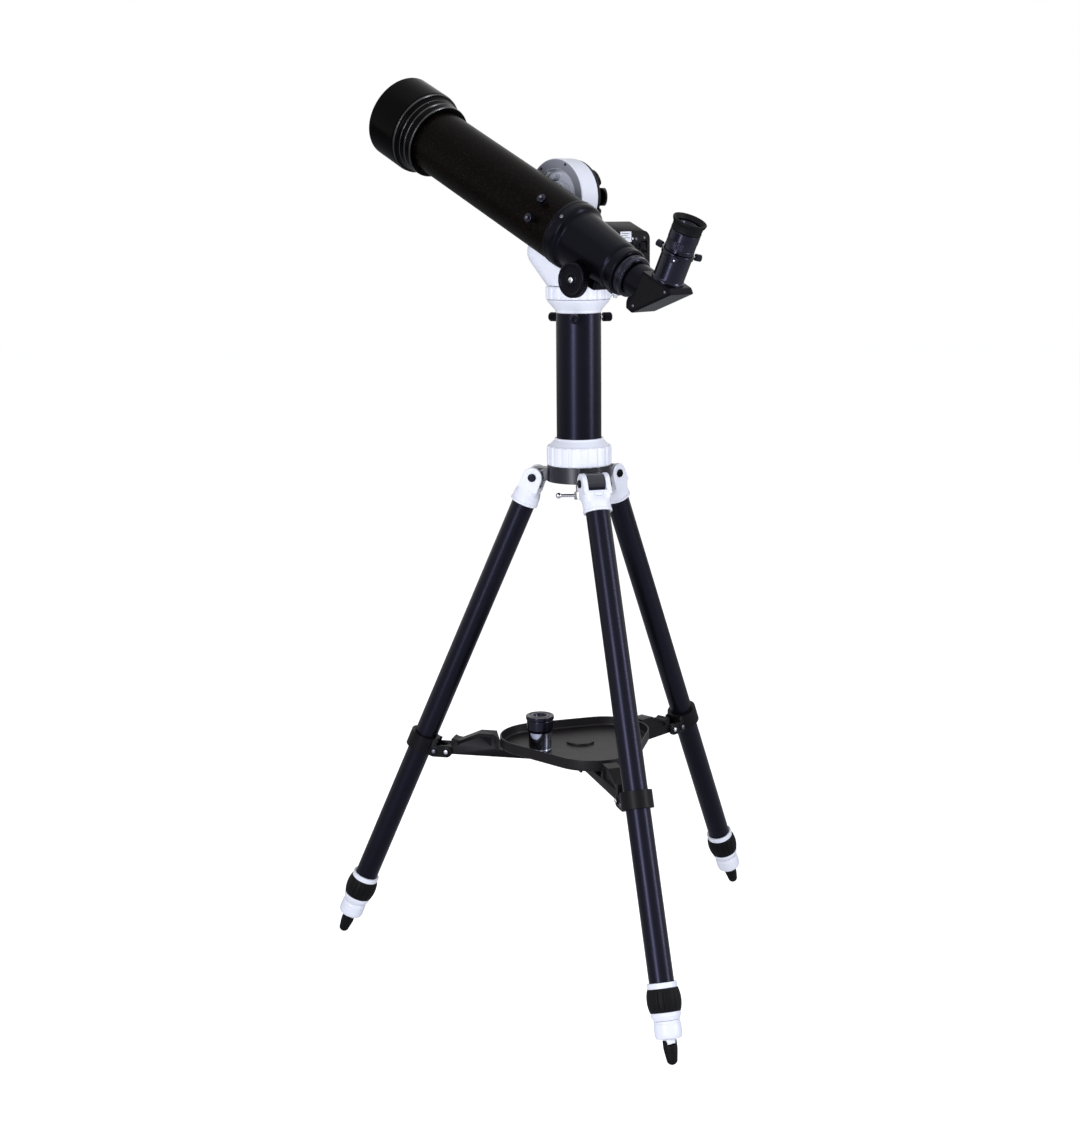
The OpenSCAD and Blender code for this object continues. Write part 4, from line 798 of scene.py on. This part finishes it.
@dataclass
class Mount:
    """The motorised arm. Lengths are from the altitude axis: aim, side, up."""

    panel_up: float = -71.6
    panel_back: float = -87.55
    drum: tuple[float, float] = (13.4, 43.0)
    drum_r: float = 48.75

    def build(self) -> None:
        """Makes the shells, the rear panel and the altitude drum."""
        copy_solids("front_shell", "rear_shell", sharp=35.0)
        copy_solids("mount_chassis", "altitude_knob", "saddle", "saddle_knob", "port_panel", "power_switch")
        self.panel_marks()
        self.altitude_drum()

    def panel_marks(self) -> None:
        """A blank pale plate with plain rules, status dots, sockets and the switch's frame."""
        origin = MOUNT.moved(x=self.panel_back, z=self.panel_up).origin
        place = Place(origin, -SIDE, UP, -MOUNT.x)
        on = {"node": "port_panel", "replace": False}
        plate = Piece("Panel_plate").slab(place, box_outline(20.9, 13.2, 1.2, -6.35, 20.9), 2.2, 2.65, 0.15)
        plate.put(LABEL, **on)
        rules = Piece("Panel_rules")
        for k, wide in enumerate((15, 12, 16, 9)):
            rules.slab(place, box_outline(wide, 0.7, 0.3, -14.8 + wide / 2, 25.0 - 2.7 * k), 2.4, 2.7, 0.04)
        rules.put(INK, **on)
        dots = Piece("Panel_dots").slab(place, circle(1.5, 6.6, 18.6, 32), 2.3, 2.8, 0.2)
        dots.slab(place, box_outline(9.7, 1.0, 0.4, 30.2, 0.6), 2.3, 2.6, 0.1).put(LABEL, **on)
        screws = Piece("Panel_screws")
        for x, y in ((13.6, 18.0), (29.1, 19.2), (-34.5, 20.5), (-34.5, -20.5), (34, -20.5)):
            screws.slab(place, circle(1.9, x, y, 32), 2.2, 2.9, 0.4)
        screws.put(ZINC, **on)
        sockets = Piece("Panel_sockets")
        for x in (18, 5):
            at = place.moved(x=x, y=8.5)
            sockets.turn(at, [(3.2, 1.3), (3.2, 2.4), (3.6, 3.4), (5.2, 3.4), (5.6, 2.2)], 0.3, 48)
            sockets.slab(at, circle(0.9, count=24), 1.2, 2.8, 0.3)
        ring = rounded([(4.3, 6.9), (-4.3, 6.9), (-4.3, -6.9), (4.3, -6.9)], 0.8, 3, True)
        outer = rounded([(6.0, 8.6), (-6.0, 8.6), (-6.0, -8.6), (6.0, -8.6)], 1.4, 3, True)
        levels = [(ring, 2.2), (ring, 3.3), (outer * 0.93, 3.3), (outer, 2.9), (outer, 2.2)]
        frame_grid = np.stack([np.column_stack([flat, np.full(len(flat), z)]) for flat, z in levels], 1)
        sockets.grid(place.moved(x=29, y=8.5), frame_grid).put(BLACK_ABS, **on)

    def altitude_drum(self) -> None:
        """The white drum with its grey face ring, recess, bosses and set screws."""
        (back, face), r = self.drum, self.drum_r
        place = MOUNT.across()
        line = [(0, -24), (12, -24), (12, back), (r, back), (r, face - 1), (r - 0.8, face), (35.5, face)]
        line += [(34.2, face - 11), (32.6, face - 12), (20.5, face - 12), (20, face - 11)]
        line += [(20, face), (0, face)]
        drum = Piece("Altitude_drum").turn(place, line, 0.8, 160)
        for up, aim, turn in ((28.6, 18.5, 34), (25.5, 8.0, 17)):
            boss = place.moved(x=up, y=aim).turned(turn)
            drum.slab(boss, circle(1, count=40) * [3.6, 6.4], face - 12.5, face - 3, 1.0)
        drum.put(WHITE_ABS, "altitude_drum")
        line = [(36.4, face - 0.1), (36.4, face + 0.3), (47.6, face + 0.3), (47.9, face - 0.1)]
        Piece("Altitude_ring").turn(place, line, 0.15, 160).put(SILVER, "altitude_drum", replace=False)
        holes = Piece("Altitude_screws")
        for up, aim in ((40.3, -19.0), (36.0, 24.0), (-30, 30), (-30, -30)):
            holes.slab(place.moved(x=up, y=aim), circle(1.9, count=32), face, face + 0.42, 0.1)
        holes.put(INK, "altitude_drum", replace=False)


# ---------------------------------------------------------------- optics


@dataclass
class OpticalTube:
    """Tube, dew cap, cell and finder studs. Stations run along the tube towards the sky."""

    tube_r: float = 41.6
    rear: float = -99.0
    front: float = 176.0
    cap_r: float = 55.4
    cap_front: float = 243.7

    def build(self) -> None:
        """Makes the tube's pieces."""
        place, r, front = TUBE.swapped(), self.tube_r, self.front
        line = [(r - 1.2, self.rear), (r, self.rear), (r, front), (r - 1.2, front)]
        Piece("Main_tube").turn(place, line, 0.3, 160, closed=True).put(TUBE_PAINT, "main_tube")
        cap, end = self.cap_r, self.cap_front
        line = [(r + 0.05, front - 13), (r + 5.4, front - 13), (r + 6.8, front - 12), (r + 7, front - 3.4)]
        line += [(r + 6.3, front - 2.6), (r + 6.3, front - 1.4), (r + 7.2, front - 0.6)]
        line += [(r + 8.2, front + 6)]
        line += [(cap - 3.6, front + 12), (cap - 0.9, front + 14.2), (cap, front + 17.5), (cap, end - 3.4)]
        line += [(cap - 0.5, end - 2.8), (cap - 0.5, end - 2.0), (cap, end - 1.5), (cap - 0.6, end)]
        line += [(cap - 2.6, end)]
        line += [(cap - 2.6, front + 23), (r + 3.65, front + 20.4), (r + 3.65, front + 0.2)]
        line += [(r + 0.05, front + 0.2)]
        Piece("Dew_cap").turn(place, line, 0.7, 160, closed=True).put(CAP_ABS, "dew_cap")
        ridges = Piece("Dew_cap_ridges")
        for ahead, top in ((14.6, cap - 0.75), (7.2, r + 8.5), (-0.6, r + 7.1), (-11.6, r + 6.75)):
            x, low, high = front + ahead, top - 0.9, top + 0.15
            line = [(low, x - 1.4), (high, x - 0.8), (high, x + 0.8), (low, x + 1.4)]
            ridges.turn(place, line, 0.7, 192)
        ridges.put(RIDGE, "dew_cap", replace=False)
        copy_solids("lens_cell", "dovetail_bar")
        self.finder_studs()

    def finder_studs(self) -> None:
        """Two knurled nuts on bright studs that hold a finder's shoe."""
        nuts, studs, base = Piece("Finder_nuts"), Piece("Finder_studs"), self.tube_r + 0.05
        for angle in (8.0, 41.0):
            out = TUBE.turned(angle, "x").moved(x=-72).across()
            line = [(0, base), (4.6, base), (4.6, base + 1.8), (2.0, base + 2.0), (2.0, base + 2.6)]
            line += [(5.2, base + 2.6)]
            line += [(5.6, base + 3.1), (5.6, base + 8.6), (5.0, base + 9), (2.02, base + 9), (0, base + 8)]
            nuts.turn(out, line, 0.3, 168, knurl(28, 0.45, base + 3.2, base + 8.4))
            line = [(0, base + 6), (2.0, base + 6), (2.0, base + 11.4), (1.4, base + 12), (0, base + 12)]
            studs.turn(out, line, 0.3, 32)
        nuts.put(ANODISED, "finder_studs")
        studs.put(ZINC, "finder_studs", replace=False)


@dataclass
class Focuser:
    """Rack-and-pinion focuser. Stations run along the tube; the eye end is negative."""

    end: float = -209.0
    pinion_at: float = -165.0
    pinion_drop: float = -29.6
    knob_r: float = 21.7
    knob_face: float = 46.0

    def build(self) -> None:
        """Makes the body, the knobs, the draw tube and the lock screw."""
        place, end = TUBE.swapped(), self.end
        line = [(32, -85), (40.35, -85), (40.35, -99.1), (42.7, -99.1), (42.7, -103.2)]
        line += [(42.2, -103.7), (42.2, -104.5)]
        line += [(42.7, -105), (42.7, -112), (41.6, -116), (38.6, -118.6), (36.8, -120.6)]
        line += [(36, -124), (30.5, -190)]
        line += [(29.8, -193), (28.3, -195.6), (28.3, -197.8), (29.3, -198.4), (29.3, end + 2), (27.6, end)]
        line += [(24.08, end), (24.08, -126), (32, -120)]
        body = Piece("Focuser_body").turn(place, line, 0.8, 144, closed=True)
        outline = box_outline(34, 38, 5, self.pinion_at, 0)
        body.slab(TUBE, outline, -36.6, -24.8, 2.4, 4)
        body.put(BLACK_ABS, "focuser_body")
        screws = Piece("Focuser_screws")
        for angle in (38, 158, 278):
            out = TUBE.turned(angle, "x").moved(x=-109).across()
            screws.turn(out, [(0, 42.2), (2.4, 42.2), (2.4, 43.2), (1.6, 43.7), (0, 43.7)], 0.3, 32)
        screws.put(ZINC, "focuser_body", replace=False)
        self.knobs()
        line = [(22, -130), (24, -130), (24, end - 0.4), (25.6, end - 0.4), (25.6, -213.4)]
        line += [(24.8, -214), (24.8, -215)]
        line += [(25.6, -215.6), (25.6, -220.4), (24, -222), (15.96, -222), (15.96, -210), (22, -205)]
        Piece("Draw_tube").turn(place, line, 0.4, 128, closed=True).put(ANODISED, "draw_tube")
        under = TUBE.moved(x=end + 8).turned(180, "x")
        line = [(0, 24.5), (1.6, 24.5), (1.6, 30), (3.4, 30), (3.7, 30.5), (3.7, 35), (3.0, 35.6)]
        line += [(0, 35.6)]
        screw = Piece("Focus_lock_screw").turn(under, line, 0.3, 96, knurl(16, 0.4, 30.6, 35))
        screw.put(BRIGHT, "focus_lock_screw")

    def knobs(self) -> None:
        """Two ribbed knobs on one shaft, each with a dished face and a bright screw."""
        r, face = self.knob_r, self.knob_face
        at = TUBE.moved(x=self.pinion_at, z=self.pinion_drop)
        knobs, screws = Piece("Focus_knobs"), Piece("Focus_knob_screws")
        line = [(3, 6), (3, 32), (r - 8, 32), (r - 5, 32.6), (r - 1.2, 34.8), (r, 36.6)]
        line += [(r, face - 2.2), (r - 1, face - 0.5)]
        line += [(r - 3, face), (r - 4.2, face - 0.3), (r - 5.2, face - 1.6), (8.4, face - 1.6)]
        line += [(7.6, face - 0.9)]
        line += [(5.4, face - 0.7), (4.8, face - 1.6), (0, face - 1.6)]
        dome = [(0, face - 2), (3.6, face - 2), (3.6, face - 0.6), (2.4, face + 0.2), (0, face + 0.5)]
        for side in (1, -1):
            out = Place(at.origin, side * at.z, at.x, side * at.y)
            knobs.turn(out, line, 0.8, 240, knurl(40, 0.45, 36.4, face - 2))
            screws.turn(out, dome, 0.5, 40)
        knobs.put(BLACK_ABS, "focus_knobs")
        screws.put(BRIGHT, "focus_knobs", replace=False)


@dataclass
class Diagonal:
    """Star diagonal, eyepiece and eyecup. Heights are from the tube's centre line."""

    station: float = -267.8
    half_w: float = 20.35
    holder_top: float = 59.0
    eyepiece_top: float = 84.7

    def build(self) -> None:
        """Makes the diagonal and what it carries."""
        at = TUBE.moved(x=self.station)
        side = Place(at.origin, at.x, at.z, -at.y)
        corners = [(24.4, 20.5), (22.9, 22), (-21.6, 22), (-27.6, 17.2), (17.4, -30), (28.4, -29)]
        corners += [(31.4, -22)]
        corners += [(31.4, -16), (24.4, -10)]
        outline = rounded(corners, 1.6, 4, closed=True)
        prism = Piece("Diagonal_housing").slab(side, outline, -self.half_w, self.half_w, 0.7)
        line = [(0, 23), (21, 23), (21, 44.8), (20.4, 45.4), (15.875, 45.4), (15.875, 67), (0, 67)]
        prism.turn(at.swapped(), line, 0.6).put(BLACK_ABS, "diagonal_housing")
        top = self.holder_top
        line = [(15.96, 21), (20.2, 21), (20.2, 24), (18.7, 26), (18.7, top - 5.6), (19.8, top - 5.2)]
        line += [(19.8, top - 0.8), (19.2, top), (15.96, top)]
        holder = Piece("Eyepiece_holder").turn(at, line, 0.5, 128, closed=True)
        holder.put(ANODISED, "diagonal_housing", replace=False)
        corners = [(22.4, 19), (-20.6, 19.4), (-24, 16.6), (18.6, -27.2), (27, -26.4), (22.4, -9)]
        plate, reach = inset(rounded(corners, 2, 4, True), 0.6), self.half_w + 0.25
        cheeks = Piece("Diagonal_cheeks").slab(side, plate, -reach, reach, 0.3)
        cheeks.put(MATTE_ABS, "diagonal_housing", replace=False)
        screws = Piece("Diagonal_screws")
        for x, z in ((-17.5, 15.5), (19.5, -21.5)):
            for turn in (1, -1):
                head = at.across(turn).moved(x=z, y=turn * x)
                w = self.half_w
                screws.turn(head, [(0, w), (1.7, w), (1.7, w + 0.5), (1.1, w + 0.9), (0, w + 0.9)], 0.2, 32)
        screws.put(ZINC, "diagonal_housing", replace=False)
        self.eyepiece(at)
        self.thumb_screws(at)

    def thumb_screws(self, at: Place) -> None:
        """Three knurled screws round the holder with bright ends."""
        heads, tips = Piece("Eyepiece_screws"), Piece("Eyepiece_screw_ends")
        head = [(1.5, 22.6), (3.8, 22.6), (4.2, 23.2), (4.2, 29.8), (3.6, 30.4), (1.4, 30.4)]
        head += [(1.2, 30), (0, 30)]
        for angle in (10, 125, 242):
            out = at.turned(angle).moved(z=self.holder_top - 2.9).swapped()
            heads.turn(out, head, 0.3, 144, knurl(24, 0.35, 23.2, 29.8))
            tips.turn(out, [(0, 16.2), (1.5, 16.2), (1.5, 22.8)], 0.2, 32)
            tips.turn(out, [(0, 29.6), (1.5, 29.6), (1.2, 31), (0, 31.1)], 0.2, 32)
        heads.put(ANODISED, "eyepiece_screws")
        tips.put(BRIGHT, "eyepiece_screws", replace=False)

    def eyepiece(self, at: Place) -> None:
        """The eyepiece with a ribbed band, its lens and the rubber eyecup."""
        low, top = self.holder_top + 0.2, self.eyepiece_top
        line = [(14.2, 31), (15.875, 31), (15.875, low), (17.6, low), (18.3, low + 0.8)]
        line += [(18.3, low + 5), (17.9, low + 5.4)]
        line += [(17.9, low + 14), (18.3, low + 14.4), (18.3, top - 0.5), (17, top), (15.7, top)]
        line += [(15.7, top + 8)]
        line += [(11, top + 8), (8, top + 4), (8, low + 4), (14.2, low + 4)]
        ribs = knurl(48, 0.3, low + 5.6, low + 13.8)
        Piece("Eyepiece").turn(at, line, 0.4, 192, ribs, closed=True).put(ANODISED, "eyepiece")
        glass = [(0, top + 3.4), (8.2, top + 3.4), (8.2, top + 4.2), (0, top + 5.4)]
        Piece("Eyepiece_lens").turn(at, glass, 0.1, 48).put(LENS, "eyepiece", replace=False)
        line = [(15.8, top + 0.05), (18.1, top + 0.05), (18.5, top + 1.6), (18.0, top + 2.8)]
        line += [(18.3, top + 7.6)]
        line += [(20.0, top + 10.4), (20.8, top + 13.0), (20.3, top + 14.05), (18.8, top + 14.05)]
        line += [(14.9, top + 9), (15.8, top + 8)]
        Piece("Eyecup").turn(at, line, 0.5, closed=True).put(RUBBER, "eyecup")


# ---------------------------------------------------------------- studio


WHITE = linear("#ffffff")


@dataclass
class Studio:
    """Floor, soft lamps and the camera."""

    camera_at: tuple[float, float, float] = (0.0, -2328.1, 1026.55)
    aside: float = -54.1
    pitch: float = 11.46
    roll: float = -0.54
    lens: float = 55.09
    floor_glow: float = 0.84
    world_light: float = 0.2

    def build(self) -> None:
        """Makes the stage."""
        self.floor()
        self.world()
        self.lamp("Key_left", (-1.45, -2.8, 1.35), (0.0, 0.0, 0.8), 0.6, 1.8, 82)
        self.lamp("Key_right", (2.7, -1.1, 1.35), (0.0, 0.0, 0.8), 0.5, 1.8, 56)
        self.lamp("Low_left", (-0.95, -1.75, 0.12), (0.15, -0.2, 1.0), 0.16, 0.34, 4.0)
        self.lamp("Overhead", (0.2, -0.4, 3.0), (0.0, 0.0, 0.7), 2.4, 2.4, 9)
        self.camera()

    def floor(self) -> None:
        """A plain pale sheet that shows white to the camera away from the shadow."""
        mesh = bpy.data.meshes.new("Floor")
        s = 12.0
        mesh.from_pydata([(-s, -s, 0), (s, -s, 0), (s, s, 0), (-s, s, 0)], [], [(0, 1, 2, 3)])
        floor = bpy.data.objects.new("Floor", mesh)
        bpy.context.scene.collection.objects.link(floor)
        material = bpy.data.materials.new("Pale_floor")
        material.use_nodes = True
        tree = material.node_tree
        tree.nodes.clear()
        seen = add_node(tree, "ShaderNodeLightPath").outputs["Is Camera Ray"]
        matte = add_node(tree, "ShaderNodeBsdfDiffuse", {"Color": linear("#f4f4f4")}).outputs[0]
        glow = {"Color": WHITE, "Strength": self.floor_glow}
        glow = add_node(tree, "ShaderNodeEmission", glow).outputs[0]
        both = add_node(tree, "ShaderNodeAddShader", {0: matte, 1: glow}).outputs[0]
        shown = add_node(tree, "ShaderNodeMixShader", {0: seen, 1: matte, 2: both}).outputs[0]
        add_node(tree, "ShaderNodeOutputMaterial", {"Surface": shown})
        mesh.materials.append(material)

    def world(self) -> None:
        """White for what is seen directly or in metal, dimmer for what lights the object."""
        world = bpy.data.worlds.new("Studio")
        bpy.context.scene.world = world
        world.use_nodes = True
        tree = world.node_tree
        tree.nodes.clear()
        path = add_node(tree, "ShaderNodeLightPath").outputs
        seen = path["Is Camera Ray"]
        for ray in ("Is Glossy Ray", "Is Transmission Ray"):
            seen = add_node(tree, "ShaderNodeMath", {0: seen, 1: path[ray]}, operation="MAXIMUM").outputs[0]
        soft = {"Color": linear("#eef0f6"), "Strength": self.world_light}
        soft = add_node(tree, "ShaderNodeBackground", soft)
        white = add_node(tree, "ShaderNodeBackground", {"Color": WHITE, "Strength": 1.0})
        mixed = add_node(tree, "ShaderNodeMixShader", {0: seen, 1: soft.outputs[0], 2: white.outputs[0]})
        add_node(tree, "ShaderNodeOutputWorld", {"Surface": mixed.outputs[0]})

    def lamp(self, name: str, at: tuple, to: tuple, wide: float, high: float, power: float) -> None:
        """One soft rectangular lamp that looks at a point."""
        light = bpy.data.lights.new(name, "AREA")
        light.shape, light.size, light.size_y, light.energy = "RECTANGLE", wide, high, power
        light.color = linear("#f1f3ff")[:3]
        lamp = bpy.data.objects.new(name, light)
        lamp.location = at
        lamp.rotation_euler = (Vector(to) - Vector(at)).to_track_quat("-Z", "Y").to_euler()
        bpy.context.scene.collection.objects.link(lamp)

    def camera(self) -> None:
        """The camera: in front of the tripod's axis, a little above, tilted down."""
        data = bpy.data.cameras.new("Camera")
        data.sensor_fit, data.sensor_width, data.lens = "AUTO", 36.0, self.lens
        data.clip_start, data.clip_end = 0.05, 60.0
        camera = bpy.data.objects.new("Camera", data)
        at = (np.array(self.camera_at) + [self.aside, 0, 0] + AXIS) * MM
        tilt = Matrix.Rotation(math.radians(90 - self.pitch), 4, "X")
        roll = Matrix.Rotation(math.radians(self.roll), 4, "Z")
        camera.matrix_world = Matrix.Translation(at) @ tilt @ roll
        bpy.context.scene.collection.objects.link(camera)
        bpy.context.scene.camera = camera


def main() -> None:
    """Builds the object's pieces in order, then the stage."""
    logging.basicConfig(level=logging.INFO, format="%(name)s: %(message)s")
    bpy.context.scene.view_settings.view_transform = "Standard"
    dress_solids()
    for assembly in (Tripod(), Pier(), Mount(), OpticalTube(), Focuser(), Diagonal()):
        assembly.build()
    Studio().build()


if __name__ == "__main__":
    main()
